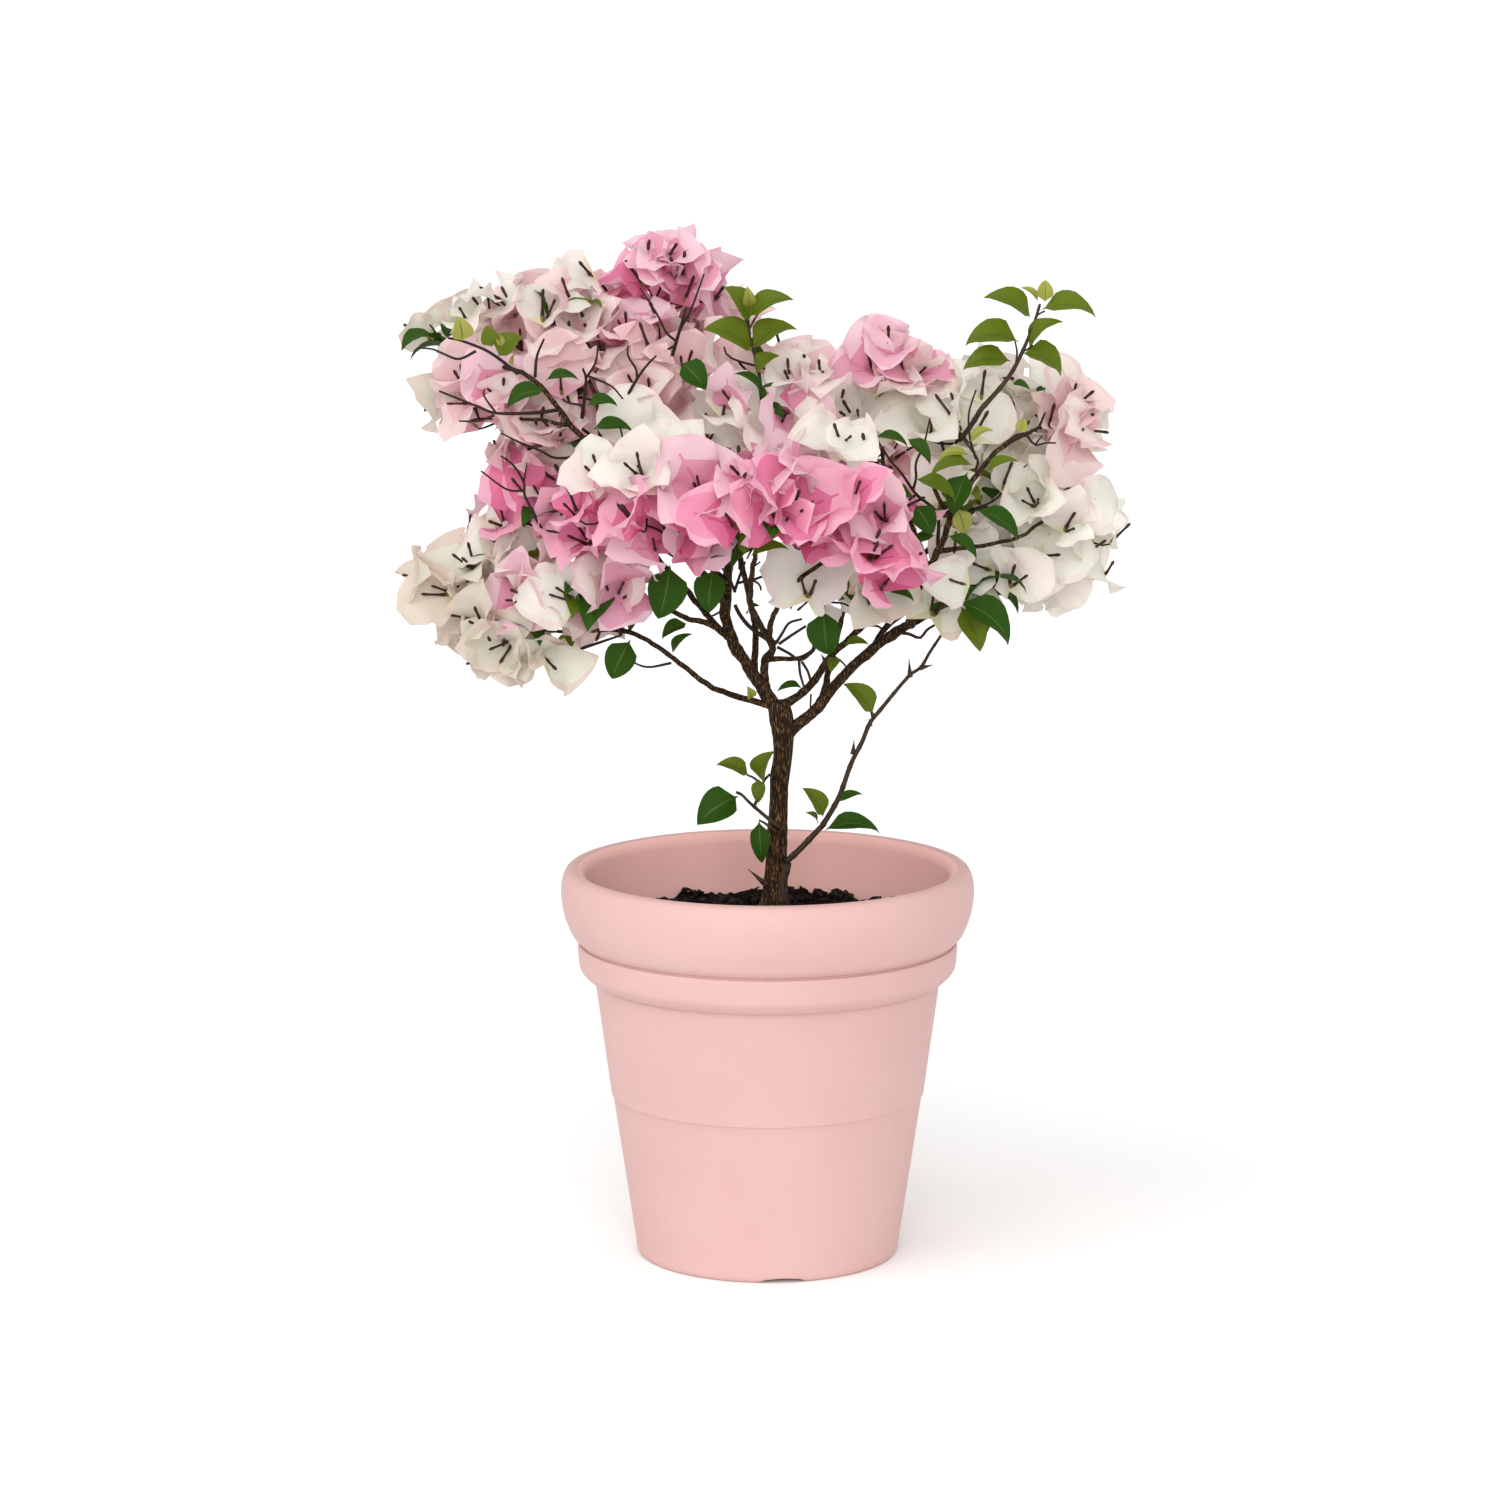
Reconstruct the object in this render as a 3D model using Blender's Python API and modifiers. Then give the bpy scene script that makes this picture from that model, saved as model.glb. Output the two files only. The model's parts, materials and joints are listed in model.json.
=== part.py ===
"""Bougainvillea bush in a 10 inch plastic pot.

Metres, +Z up. The origin is at the centre of the pot's underside, the crown's
broad side faces -Y. The limbs are tapering tubes that end where they enter a
mass of blossom. Each mass is a tree of twigs that carries clusters of three
papery bracts and green leaves, fused into one solid that keeps to its space.
"""
import math
import random

import bmesh
import bpy
import numpy as np
from mathutils import Matrix, Vector, noise
from mathutils.bvhtree import BVHTree

GAP = 0.0003                 # clearance between solids that meet

# pot
POT_HEIGHT = 0.2387
RIM_RADIUS = 0.1250          # widest, at the rolled rim
CREST_RADIUS = 0.1177
FOOT_RADIUS = 0.0772
BAND_BOTTOM = 0.1710         # underside of the band below the rim
STEP_HEIGHT = 0.0996         # shallow step round the body
WALL = 0.003
FLOOR_BOTTOM = 0.004
FLOOR_TOP = 0.0078
FOOT_RING = 0.0070
BOSS_RADIUS = 0.012
POT_SIDES = 28
NOTCH_WIDTH = 0.027
NOTCH_HEIGHT = 0.003
NOTCH_TURN = math.radians(-83.3)
DRAIN_RADIUS = 0.0045
DRAIN_CIRCLE = 0.045
DRAIN_COUNT = 4

# soil
SOIL_TOP = 0.2070
SOIL_LUMP = 0.0035
SOIL_SEAT = 0.017            # flat round the foot of the trunk

# trunk: places of its middle, with the radius there
TRUNK_FOOT = SOIL_TOP + GAP
TRUNK_WAY = ((0.0042, 0.0, TRUNK_FOOT), (0.0050, 0.0, 0.2210), (0.0064, 0.0, 0.2794),
             (0.0093, 0.0, 0.3094), (0.0084, 0.0, 0.3270), (0.0064, 0.0, 0.3395))
TRUNK_RADIUS = (0.0088, 0.0062, 0.0050, 0.0052, 0.0060, 0.0050)
FLARE_LOBES = 5
FLARE_DEPTH = 0.0012

# bracts, flowers and leaves
BRACT = dict(length=0.037, width=0.034, thick=0.0018, cup=0.003)
LEAF = dict(length=0.030, width=0.019, thick=0.0014, cup=0.002)
BRACT_SPREAD = math.radians(52)
TWIG_RADIUS = 0.0011
ROOT_SUNK = 0.0005           # a leaf's root lies this far behind its twig's middle
HEART_RADIUS = 0.0034        # of a cluster, between its bracts
HEART_HEIGHT = 0.0036
SPACING = 0.016              # between the clusters of a mass
REACH = 0.009                # past a mass's radius, as far as its bract tips go
WALL_PAST = 0.010            # a tip may pass the cell's wall where the neighbour left room
CLEARANCE = 0.0016           # between the blades of one mass and all other solids

# masses: middle and radius of the space, clusters, share with a leaf, colour
MASSES = {
    "top_left_outer": ((-0.182, 0.012, 0.549), 0.040, 6, 0.2, "cream"),
    "top_left": ((-0.124, 0.000, 0.569), 0.040, 6, 0.2, "blush"),
    "top": ((-0.062, 0.020, 0.583), 0.041, 6, 0.1, "pink"),
    "upper_mid": ((-0.070, -0.030, 0.538), 0.040, 5, 0.1, "blush"),
    "upper_left": ((-0.122, -0.032, 0.517), 0.042, 6, 0.2, "blush"),
    "left_edge": ((-0.162, -0.018, 0.512), 0.036, 4, 0.1, "blush"),
    "left_mid": ((-0.138, -0.024, 0.461), 0.042, 6, 0.1, "pink"),
    "left_low_outer": ((-0.184, 0.000, 0.414), 0.041, 6, 0.1, "cream"),
    "left_low": ((-0.148, -0.026, 0.388), 0.040, 6, 0.2, "cream"),
    "low_centre_left": ((-0.098, -0.050, 0.424), 0.040, 5, 1.2, "blush"),
    "front_left": ((-0.076, -0.106, 0.474), 0.042, 6, 0.1, "rose"),
    "front_mid": ((-0.006, -0.116, 0.465), 0.043, 6, 0.3, "rose"),
    "front_right": ((0.060, -0.104, 0.460), 0.042, 6, 0.1, "rose"),
    "centre_top": ((-0.004, -0.054, 0.520), 0.044, 6, 0.1, "blush"),
    "low_centre_right": ((0.036, -0.050, 0.420), 0.038, 5, 0.8, "white"),
    "top_centre_right": ((0.064, 0.004, 0.530), 0.043, 6, 0.1, "blush"),
    "right_top": ((0.118, -0.014, 0.508), 0.042, 6, 0.2, "white"),
    "right_top_outer": ((0.170, 0.006, 0.508), 0.041, 5, 0.1, "white"),
    "right_mid": ((0.176, -0.008, 0.456), 0.040, 6, 0.1, "white"),
    "right_low": ((0.166, 0.012, 0.424), 0.038, 5, 0.2, "white"),
    "right_low_inner": ((0.114, -0.034, 0.413), 0.037, 4, 0.8, "white"),
    "right_centre": ((0.116, -0.026, 0.460), 0.036, 4, 0.6, "white"),
    "back_left": ((-0.120, 0.076, 0.476), 0.046, 5, 0.2, "blush"),
    "back_centre": ((-0.036, 0.116, 0.468), 0.047, 5, 0.2, "pink"),
    "back_right": ((0.060, 0.106, 0.462), 0.047, 5, 0.2, "blush"),
    "back_right_side": ((0.132, 0.070, 0.452), 0.044, 5, 0.2, "white"),
    "back_top": ((-0.026, 0.074, 0.540), 0.044, 5, 0.2, "blush"),
}

# limbs: parent, height on it where the limb leaves, places it passes,
# radius at root and tip; each ends at the space of the mass it is named for
LIMBS = {
    "right": ("trunk", 0.3180, ((0.0291, 0.000, 0.3351), (0.0453, 0.000, 0.3552),
                                (0.0686, -0.006, 0.3768)), 0.0037, 0.0026),
    "centre_top": ("trunk", 0.3290, ((-0.0076, 0.000, 0.3552), (-0.0228, 0.000, 0.3814),
                                     (-0.0240, -0.010, 0.4180)), 0.0041, 0.0022),
    "left_low": ("trunk", 0.3350, ((-0.0130, -0.001, 0.3418), (-0.0328, -0.010, 0.3502),
                                   (-0.0777, -0.030, 0.3848)), 0.0022, 0.0012),
    "right_centre": ("trunk", 0.3360, ((0.0231, -0.001, 0.3473), (0.0392, -0.002, 0.3686),
                                       (0.0560, -0.006, 0.3858)), 0.0028, 0.0015),
    "front_mid": ("centre_top", 0.3440, ((-0.0016, -0.003, 0.3631), (0.0020, -0.008, 0.3753),
                                         (-0.0100, -0.040, 0.4050)), 0.0026, 0.0014),
    "low_centre_left": ("centre_top", 0.3770, ((-0.0363, -0.010, 0.3890),
                                               (-0.0520, -0.020, 0.3950)), 0.0022, 0.0013),
    "front_right": ("front_mid", 0.3800, ((0.0040, -0.038, 0.4000), (0.0160, -0.070, 0.4220)),
                    0.0019, 0.0012),
    "low_centre_right": ("front_mid", 0.3660, ((0.0180, -0.004, 0.3667),
                                               (0.0290, -0.012, 0.3760)), 0.0016, 0.0011),
    "front_left": ("centre_top", 0.3960, ((-0.0360, -0.040, 0.4220),), 0.0022, 0.0013),
    "left_low_outer": ("left_low", 0.3860, ((-0.1150, 0.006, 0.4060),), 0.0014, 0.0010),
    "top_left_outer": ("centre_top", 0.4120, ((-0.0620, -0.034, 0.4580),
                                              (-0.1017, -0.070, 0.5000),
                                              (-0.1363, -0.066, 0.5400)), 0.0022, 0.0013),
    "left_mid": ("centre_top", 0.4030, ((-0.0640, 0.004, 0.4360),), 0.0017, 0.0011),
    "upper_left": ("top_left_outer", 0.4700, ((-0.0830, -0.030, 0.4880),), 0.0013, 0.0010),
    "left_edge": ("top_left_outer", 0.5150, ((-0.1400, -0.066, 0.5180),), 0.0012, 0.0009),
    "top_left": ("top_left_outer", 0.4950, ((-0.1010, -0.058, 0.5300),), 0.0013, 0.0010),
    "top": ("centre_top", 0.4300, ((-0.0400, 0.010, 0.4700), (-0.0520, 0.020, 0.5100)),
            0.0018, 0.0011),
    "upper_mid": ("top", 0.4700, ((-0.0540, 0.004, 0.4960),), 0.0013, 0.0010),
    "right_top_outer": ("right", None, ((0.0890, -0.040, 0.4130), (0.0980, -0.064, 0.4360),
                                        (0.1140, -0.078, 0.4770), (0.1400, -0.058, 0.5030)),
                        0.0026, 0.0013),
    "right_top": ("right_top_outer", 0.4600, ((0.0960, -0.066, 0.4820),), 0.0014, 0.0010),
    "top_centre_right": ("right_top_outer", 0.4270, ((0.0840, -0.040, 0.4560),
                                                    (0.0700, -0.020, 0.4800)), 0.0017, 0.0011),
    "right_mid": ("right_top_outer", 0.4400, ((0.1420, -0.060, 0.4460),), 0.0015, 0.0010),
    "right_low_inner": ("right", 0.3830, ((0.0960, -0.012, 0.3930),), 0.0013, 0.0010),
    "right_low": ("right", 0.3800, ((0.1050, 0.014, 0.3960),), 0.0015, 0.0010),
    "back_left": ("centre_top", 0.3700, ((-0.0460, 0.024, 0.4000), (-0.0780, 0.044, 0.4340)),
                  0.0022, 0.0014),
    "back_centre": ("centre_top", 0.3560, ((-0.0080, 0.030, 0.3820), (-0.0180, 0.066, 0.4200)),
                    0.0023, 0.0014),
    "back_right": ("right", 0.3400, ((0.0400, 0.030, 0.3660), (0.0520, 0.064, 0.4100)),
                   0.0022, 0.0013),
    "back_right_side": ("right", 0.3700, ((0.0860, 0.030, 0.4040),), 0.0018, 0.0012),
    "back_top": ("back_centre", 0.4120, ((-0.0240, 0.054, 0.4600),), 0.0016, 0.0011),
}
RIGHT_TIP = (0.0860, -0.0200, 0.3905)
LIMB_STEP = 0.020            # between the rings of a limb

# leafy leaders that rise above their mass: foot, tip, leaf count, leaf length
LEADERS = {
    "centre_top": ((-0.0064, -0.0700, 0.5423), (-0.0130, -0.0600, 0.5800), 5, 0.031),
    "right_top_outer": ((0.1368, -0.0300, 0.5357), (0.1615, -0.0300, 0.5820), 6, 0.036),
}

# low shoots from the trunk: height they leave at, places they pass, root and tip radius
SHOOTS = {
    "right_shoot": (0.2440, ((0.0285, -0.010, 0.2635), (0.0447, -0.010, 0.2898),
                             (0.0619, -0.015, 0.3322), (0.0832, -0.020, 0.3585),
                             (0.1040, -0.022, 0.3840)), 0.0017, 0.0009),
    "left_shoot": (0.2670, ((-0.0080, -0.010, 0.2780), (-0.0190, -0.013, 0.2900)),
                   0.0012, 0.0008),
}
# leaves of the shoots: share along the shoot, turn from +X toward +Z, toward -Y, length
SHOOT_LEAVES = {
    "right_shoot": ((0.13, 12, 0.1, 0.026), (0.18, 122, 0.3, 0.012), (0.27, 128, 0.2, 0.018),
                    (0.30, 20, 0.3, 0.015), (0.62, 132, 0.2, 0.024)),
    "left_shoot": ((0.97, 207, 0.3, 0.028), (0.90, 140, 0.1, 0.020), (0.62, 72, 0.3, 0.018),
                   (0.35, 262, 0.4, 0.027)),
}
THORN_SHARES = (0.24, 0.49, 0.78, 0.86)
THORN_LENGTH = 0.007

COLOURS = {
    "pot": (0.86, 0.56, 0.53), "soil": (0.022, 0.014, 0.010), "bark": (0.075, 0.050, 0.034),
    "cream": (0.86, 0.80, 0.70), "white": (0.88, 0.84, 0.80), "blush": (0.86, 0.62, 0.66),
    "pink": (0.80, 0.38, 0.50), "rose": (0.78, 0.19, 0.38), "leaf": (0.09, 0.16, 0.03),
}


def clear_scene():
    for item in list(bpy.data.objects):
        bpy.data.objects.remove(item, do_unlink=True)


def new_collection(name):
    group = bpy.data.collections.new(name)
    bpy.context.scene.collection.children.link(group)
    return group


def material(name, colour, roughness=0.6):
    mat = bpy.data.materials.new(name)
    mat.use_nodes = True
    shader = mat.node_tree.nodes["Principled BSDF"]
    shader.inputs["Base Color"].default_value = (*colour, 1.0)
    shader.inputs["Roughness"].default_value = roughness
    shader.inputs["Metallic"].default_value = 0.0
    return mat


def add_mesh(name, mesh, group, mat=None):
    obj = bpy.data.objects.new(name, mesh)
    group.objects.link(obj)
    if mat:
        mesh.materials.append(mat)
    return obj


def from_bmesh(name, bm, group, mat=None):
    mesh = bpy.data.meshes.new(name)
    bm.to_mesh(mesh)
    bm.free()
    return add_mesh(name, mesh, group, mat)


def smooth_way(places, count):
    """Even steps along a smooth curve through the given places."""
    ways = [Vector(p) for p in places]
    ways = [2 * ways[0] - ways[1]] + ways + [2 * ways[-1] - ways[-2]]
    fine = []
    for a, b, c, d in zip(ways, ways[1:], ways[2:], ways[3:]):
        for k in range(12):
            t = k / 12
            fine.append(0.5 * (2 * b + (c - a) * t + (2 * a - 5 * b + 4 * c - d) * t ** 2
                               + (3 * b - a - 3 * c + d) * t ** 3))
    fine.append(ways[-2])
    run = [0.0]
    for a, b in zip(fine, fine[1:]):
        run.append(run[-1] + (b - a).length)
    steps = np.linspace(0.0, run[-1], count)
    return [Vector([np.interp(s, run, [p[axis] for p in fine]) for axis in range(3)])
            for s in steps]


def tube(name, points, radii, group, mat=None, resolution=1):
    """A tapering limb with filled ends, as a welded mesh."""
    curve = bpy.data.curves.new(name, "CURVE")
    curve.dimensions = "3D"
    curve.bevel_depth = 1.0
    curve.bevel_resolution = resolution
    curve.use_fill_caps = True
    spline = curve.splines.new("POLY")
    spline.points.add(len(points) - 1)
    for node, place, radius in zip(spline.points, points, radii):
        node.co = (*place, 1.0)
        node.radius = radius
    guide = bpy.data.objects.new(name + "_guide", curve)
    bpy.context.scene.collection.objects.link(guide)
    bpy.context.view_layer.update()
    depsgraph = bpy.context.evaluated_depsgraph_get()
    mesh = bpy.data.meshes.new_from_object(guide.evaluated_get(depsgraph))
    bpy.data.objects.remove(guide)
    mesh.name = name
    bm = bmesh.new()
    bm.from_mesh(mesh)
    bmesh.ops.remove_doubles(bm, verts=bm.verts, dist=0.00002)
    bmesh.ops.recalc_face_normals(bm, faces=bm.faces)
    bm.to_mesh(mesh)
    bm.free()
    mesh.materials.clear()
    return add_mesh(name, mesh, group, mat)


def boolean(obj, operation, cutter=None, group=None, solver="EXACT"):
    """Applies one Boolean and returns the object with its new mesh."""
    mod = obj.modifiers.new("join", "BOOLEAN")
    mod.operation = operation
    mod.solver = solver
    if group:
        mod.operand_type = "COLLECTION"
        mod.collection = group
    else:
        mod.object = cutter
    bpy.context.view_layer.update()
    depsgraph = bpy.context.evaluated_depsgraph_get()
    mesh = bpy.data.meshes.new_from_object(obj.evaluated_get(depsgraph))
    obj.modifiers.clear()
    old = obj.data
    obj.data = mesh
    bpy.data.meshes.remove(old)
    return obj


def signed_volume(faces):
    total = 0.0
    for face in faces:
        corners = [v.co for v in face.verts]
        for b, c in zip(corners[1:], corners[2:]):
            total += corners[0].dot(b.cross(c)) / 6
    return total


def keep_largest(obj):
    """Keeps the main body: loose scraps go and sealed hollows are filled."""
    bm = bmesh.new()
    bm.from_mesh(obj.data)
    left = set(bm.faces)
    bodies = []
    while left:
        front = [left.pop()]
        body = list(front)
        while front:
            face = front.pop()
            for edge in face.edges:
                for other in edge.link_faces:
                    if other in left:
                        left.remove(other)
                        front.append(other)
                        body.append(other)
        bodies.append(body)
    bodies.sort(key=signed_volume, reverse=True)
    scrap = [face for body in bodies[1:] for face in body]
    bmesh.ops.delete(bm, geom=scrap, context="FACES")
    loose = [v for v in bm.verts if not v.link_faces]
    bmesh.ops.delete(bm, geom=loose, context="VERTS")
    bmesh.ops.triangulate(bm, faces=bm.faces)
    bm.to_mesh(obj.data)
    bm.free()
    return len(bodies) - 1


# ---------------------------------------------------------------- pot and soil

def body_radius(height):
    """Outside of the tapered body, with its shallow step."""
    if height < STEP_HEIGHT:
        return 0.0859 + 0.150 * (height - 0.0441)
    return 0.0957 + 0.137 * (height - 0.1045)


def pot_profile():
    """From the middle of the floor up the inside, over the rim and down the outside."""
    inside_top = POT_HEIGHT - 0.008
    profile = [(0.0, FLOOR_TOP), (body_radius(FLOOR_TOP) - WALL - 0.004, FLOOR_TOP),
               (body_radius(0.014) - WALL, 0.014),
               (body_radius(STEP_HEIGHT) - WALL, STEP_HEIGHT),
               (body_radius(inside_top) - WALL, inside_top)]
    inner = body_radius(inside_top) - WALL
    for turn in (35, 65):
        angle = math.radians(turn)
        profile.append((CREST_RADIUS - (CREST_RADIUS - inner) * math.cos(angle),
                        inside_top + 0.008 * math.sin(angle)))
    profile.append((CREST_RADIUS, POT_HEIGHT))
    profile += [(0.1216, POT_HEIGHT - 0.0012), (0.1240, POT_HEIGHT - 0.0062),
                (RIM_RADIUS, POT_HEIGHT - 0.0145), (0.1238, POT_HEIGHT - 0.0250),
                (0.1186, POT_HEIGHT - 0.0395),
                (0.1139, 0.1937), (0.1147, 0.1915), (0.1140, 0.1785), (0.1120, 0.1755),
                (0.1062, BAND_BOTTOM), (body_radius(0.166), 0.1660)]
    profile += [(body_radius(STEP_HEIGHT) + 0.0001, STEP_HEIGHT + 0.0006),
                (body_radius(STEP_HEIGHT - 0.0006), STEP_HEIGHT - 0.0006),
                (body_radius(0.0060), 0.0060), (body_radius(0.002) - 0.0003, 0.0020),
                (FOOT_RADIUS, 0.0),
                (FOOT_RADIUS - FOOT_RING, 0.0), (FOOT_RADIUS - FOOT_RING - 0.001, FLOOR_BOTTOM),
                (BOSS_RADIUS + 0.001, FLOOR_BOTTOM), (BOSS_RADIUS, 0.0), (0.0, 0.0)]
    return profile


def turned(name, profile, sides, group, mat):
    """A profile in the XZ plane turned round Z into a closed body."""
    bm = bmesh.new()
    verts = [bm.verts.new((x, 0.0, z)) for x, z in profile]
    for a, b in zip(verts, verts[1:]):
        bm.edges.new((a, b))
    obj = from_bmesh(name, bm, group, mat)
    screw = obj.modifiers.new("turn", "SCREW")
    screw.steps = sides
    screw.render_steps = sides
    screw.use_merge_vertices = True
    screw.merge_threshold = 0.00001
    screw.use_smooth_shade = True
    bpy.context.view_layer.update()
    mesh = bpy.data.meshes.new_from_object(
        obj.evaluated_get(bpy.context.evaluated_depsgraph_get()))
    obj.modifiers.clear()
    obj.data = mesh
    return obj


def cylinder(name, radius, length, matrix, group, sides=20):
    bm = bmesh.new()
    bmesh.ops.create_cone(bm, cap_ends=True, segments=sides, radius1=radius,
                          radius2=radius, depth=length, matrix=matrix)
    cutter = from_bmesh(name, bm, group)
    cutter.hide_render = True
    cutter.display_type = "WIRE"
    return cutter


def make_pot(group, cutters, mat):
    pot = turned("pot", pot_profile(), POT_SIDES, group, mat)
    radius = (NOTCH_WIDTH ** 2 / 4 + NOTCH_HEIGHT ** 2) / (2 * NOTCH_HEIGHT)
    for k in range(4):
        angle = NOTCH_TURN + k * math.pi / 2
        place = Matrix.Rotation(angle, 4, "Z") @ Matrix.Translation(
            (FOOT_RADIUS - FOOT_RING / 2, 0.0, NOTCH_HEIGHT - radius))
        notch = cylinder(f"notch_{k}", radius, 3 * FOOT_RING,
                         place @ Matrix.Rotation(math.pi / 2, 4, "Y"), cutters, 40)
        boolean(pot, "DIFFERENCE", notch)
    for k in range(DRAIN_COUNT):
        angle = 2 * math.pi * k / DRAIN_COUNT
        place = Matrix.Translation((DRAIN_CIRCLE * math.cos(angle),
                                    DRAIN_CIRCLE * math.sin(angle), FLOOR_TOP / 2))
        drain = cylinder(f"drain_{k}", DRAIN_RADIUS, 3 * FLOOR_TOP, place, cutters, 8)
        boolean(pot, "DIFFERENCE", drain)
    return pot


def make_soil(group, mat):
    """Potting soil that fills the pot, lumpy on top but for the trunk's seat."""
    low = FLOOR_TOP + GAP
    inner = WALL + GAP
    rings = [SOIL_SEAT, 0.032, 0.050, 0.068, 0.084, body_radius(SOIL_TOP) - inner - 0.002]
    profile = [(0.0, SOIL_TOP)] + [(r, SOIL_TOP) for r in rings]
    profile += [(body_radius(SOIL_TOP - 0.006) - inner, SOIL_TOP - 0.006),
                (body_radius(STEP_HEIGHT) - inner - 0.0002, STEP_HEIGHT),
                (body_radius(0.015) - inner, 0.015),
                (body_radius(FLOOR_TOP) - inner - 0.0042, low), (0.0, low)]
    soil = turned("soil", profile, POT_SIDES, group, mat)
    for vert in soil.data.vertices:
        flat = math.hypot(vert.co.x, vert.co.y)
        if vert.co.z > SOIL_TOP - 0.001 and flat > SOIL_SEAT + 0.001:
            vert.co.z += SOIL_LUMP * noise.noise(vert.co * 60.0)
    return soil


# ---------------------------------------------------------------------- limbs

def make_trunk(group, mat):
    """The trunk, with a lobed root flare cut flat at the soil."""
    count = 12
    points = smooth_way(TRUNK_WAY, count)
    heights = [p[2] for p in TRUNK_WAY]
    radii = [float(np.interp(p.z, heights, TRUNK_RADIUS)) for p in points]
    trunk = tube("trunk", points, radii, group, mat, resolution=4)
    flare_top = TRUNK_WAY[1][2] + 0.012
    for vert in trunk.data.vertices:
        share = min(1.0, max(0.0, (flare_top - vert.co.z) / (flare_top - TRUNK_FOOT)))
        foot = Vector((TRUNK_WAY[0][0], 0.0, vert.co.z))
        out = vert.co - foot
        if out.length > 0.001:
            lobe = math.cos(FLARE_LOBES * math.atan2(out.y, out.x))
            vert.co += out.normalized() * FLARE_DEPTH * share ** 2 * lobe
        if share > 0.93:
            vert.co.z = TRUNK_FOOT
    return trunk, points, radii


def at_height(route, height):
    """Place on a limb where it passes a height; None is its tip."""
    points, _ = route
    if height is not None:
        for a, b in zip(points, points[1:]):
            if (a.z - height) * (b.z - height) <= 0 and a.z != b.z:
                return a.lerp(b, (height - a.z) / (b.z - a.z))
    return points[-1]


def space_edge(name, toward):
    """Where a limb that comes from a place enters the space of its mass."""
    middle, radius = Vector(MASSES[name][0]), MASSES[name][1]
    return middle + (Vector(toward) - middle).normalized() * radius * 0.80


def limb_route(name, routes):
    parent, height, ways, root, tip = LIMBS[name]
    start = at_height(routes[parent], height)
    end = Vector(RIGHT_TIP) if name == "right" else space_edge(name, ways[-1])
    if height is None:
        start = start - (routes[parent][0][-1] - routes[parent][0][-2]).normalized() * 0.002
    places = (tuple(start),) + ways + (tuple(end),)
    run = sum((Vector(b) - Vector(a)).length for a, b in zip(places, places[1:]))
    points = smooth_way(places, max(4, round(run / LIMB_STEP) + 1))
    last = len(points) - 1
    radii = [root + (tip - root) * (k / last) ** 0.8 for k in range(last + 1)]
    return points, radii


def fattened(name, route, group, resolution):
    points, radii = route
    ahead = (points[-1] - points[-2]).normalized() * GAP
    behind = (points[0] - points[1]).normalized() * GAP
    longer = [points[0] + behind] + points[1:-1] + [points[-1] + ahead]
    cutter = tube(name + "_clearance", longer, [r + GAP / 0.8 for r in radii], group,
                  resolution=resolution)
    cutter.hide_render = True
    cutter.display_type = "WIRE"
    return cutter


def tree_of(obj):
    mesh = obj.data
    mesh.calc_loop_triangles()
    return BVHTree.FromPolygons([v.co.copy() for v in mesh.vertices],
                                [tuple(t.vertices) for t in mesh.loop_triangles])


def make_limbs(group, cutters, mat):
    """Every limb, cut clear of the limb it springs from and of those beside it."""
    trunk, points, radii = make_trunk(group, mat)
    routes = {"trunk": (points, radii)}
    clearances = {"trunk": fattened("trunk", routes["trunk"], cutters, 4)}
    solids = {"trunk": trunk}
    for name in LIMBS:
        routes[name] = limb_route(name, routes)
        thick = 2 if name in ("right", "centre_top", "right_top_outer") else 1
        node = "bough_" + name
        limb = tube(node, *routes[name], group, mat, resolution=thick)
        for other, cutter in clearances.items():
            if tree_of(limb).overlap(tree_of(cutter)):
                boolean(limb, "DIFFERENCE", cutter)
                keep_largest(limb)
        solids[name] = limb
        clearances[name] = fattened(node, routes[name], cutters, thick)
    return routes, solids, clearances


# -------------------------------------------------------- twigs, bracts, leaves

def aim(direction, roll=0.0):
    """Rotation that turns +Z to the direction."""
    return direction.to_track_quat("Z", "Y").to_matrix().to_4x4() @ Matrix.Rotation(roll, 4, "Z")


def blade_points(base, along, face, size):
    """Corners of a pointed blade: root, two sides, tip and its two middles."""
    side = face.cross(along).normalized()
    length, width, thick, cup = size["length"], size["width"], size["thick"], size["cup"]
    middle = base + along * length * 0.46
    return [base, middle + side * width / 2 + face * cup, base + along * length,
            middle - side * width / 2 + face * cup,
            middle + face * thick / 2, middle - face * thick / 2]


def blade_mesh(name, corners, group):
    """An eight-faced blade from an octahedron moved to its corners."""
    bm = bmesh.new()
    bmesh.ops.create_uvsphere(bm, u_segments=4, v_segments=2, radius=1.0)
    root, left, tip, right, top, bottom = corners
    for vert in bm.verts:
        x, y, z = (round(c) for c in vert.co)
        if z:
            vert.co = top if z > 0 else bottom
        elif x:
            vert.co = tip if x > 0 else root
        else:
            vert.co = left if y > 0 else right
    return from_bmesh(name, bm, group)


def corolla_mesh(name, place, axis, roll, blades, group):
    """Bracts joined round one heart; a bract that has no room is left out (None)."""
    bm = bmesh.new()
    across = axis.orthogonal().normalized()
    top = bm.verts.new(place + axis * HEART_HEIGHT)
    bottom = bm.verts.new(place - axis * HEART_HEIGHT)
    notches = []
    for k in range(3):
        turn = Matrix.Rotation(roll + (k + 0.5) * 2 * math.pi / 3, 3, axis)
        notches.append(bm.verts.new(place + (turn @ across) * HEART_RADIUS))
    for k, blade in enumerate(blades):
        before, after = notches[k - 1], notches[k]
        if blade is None:
            bm.faces.new((top, before, after))
            bm.faces.new((bottom, after, before))
            continue
        left, tip, right, upper = (bm.verts.new(corner) for corner in blade[1:5])
        rim = [before, right, tip, left, after]
        for a, b in zip([top] + rim, rim + [top]):
            bm.faces.new((upper, a, b))
        for a, b in zip(rim, rim[1:]):
            bm.faces.new((bottom, b, a))
    return from_bmesh(name, bm, group)


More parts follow.
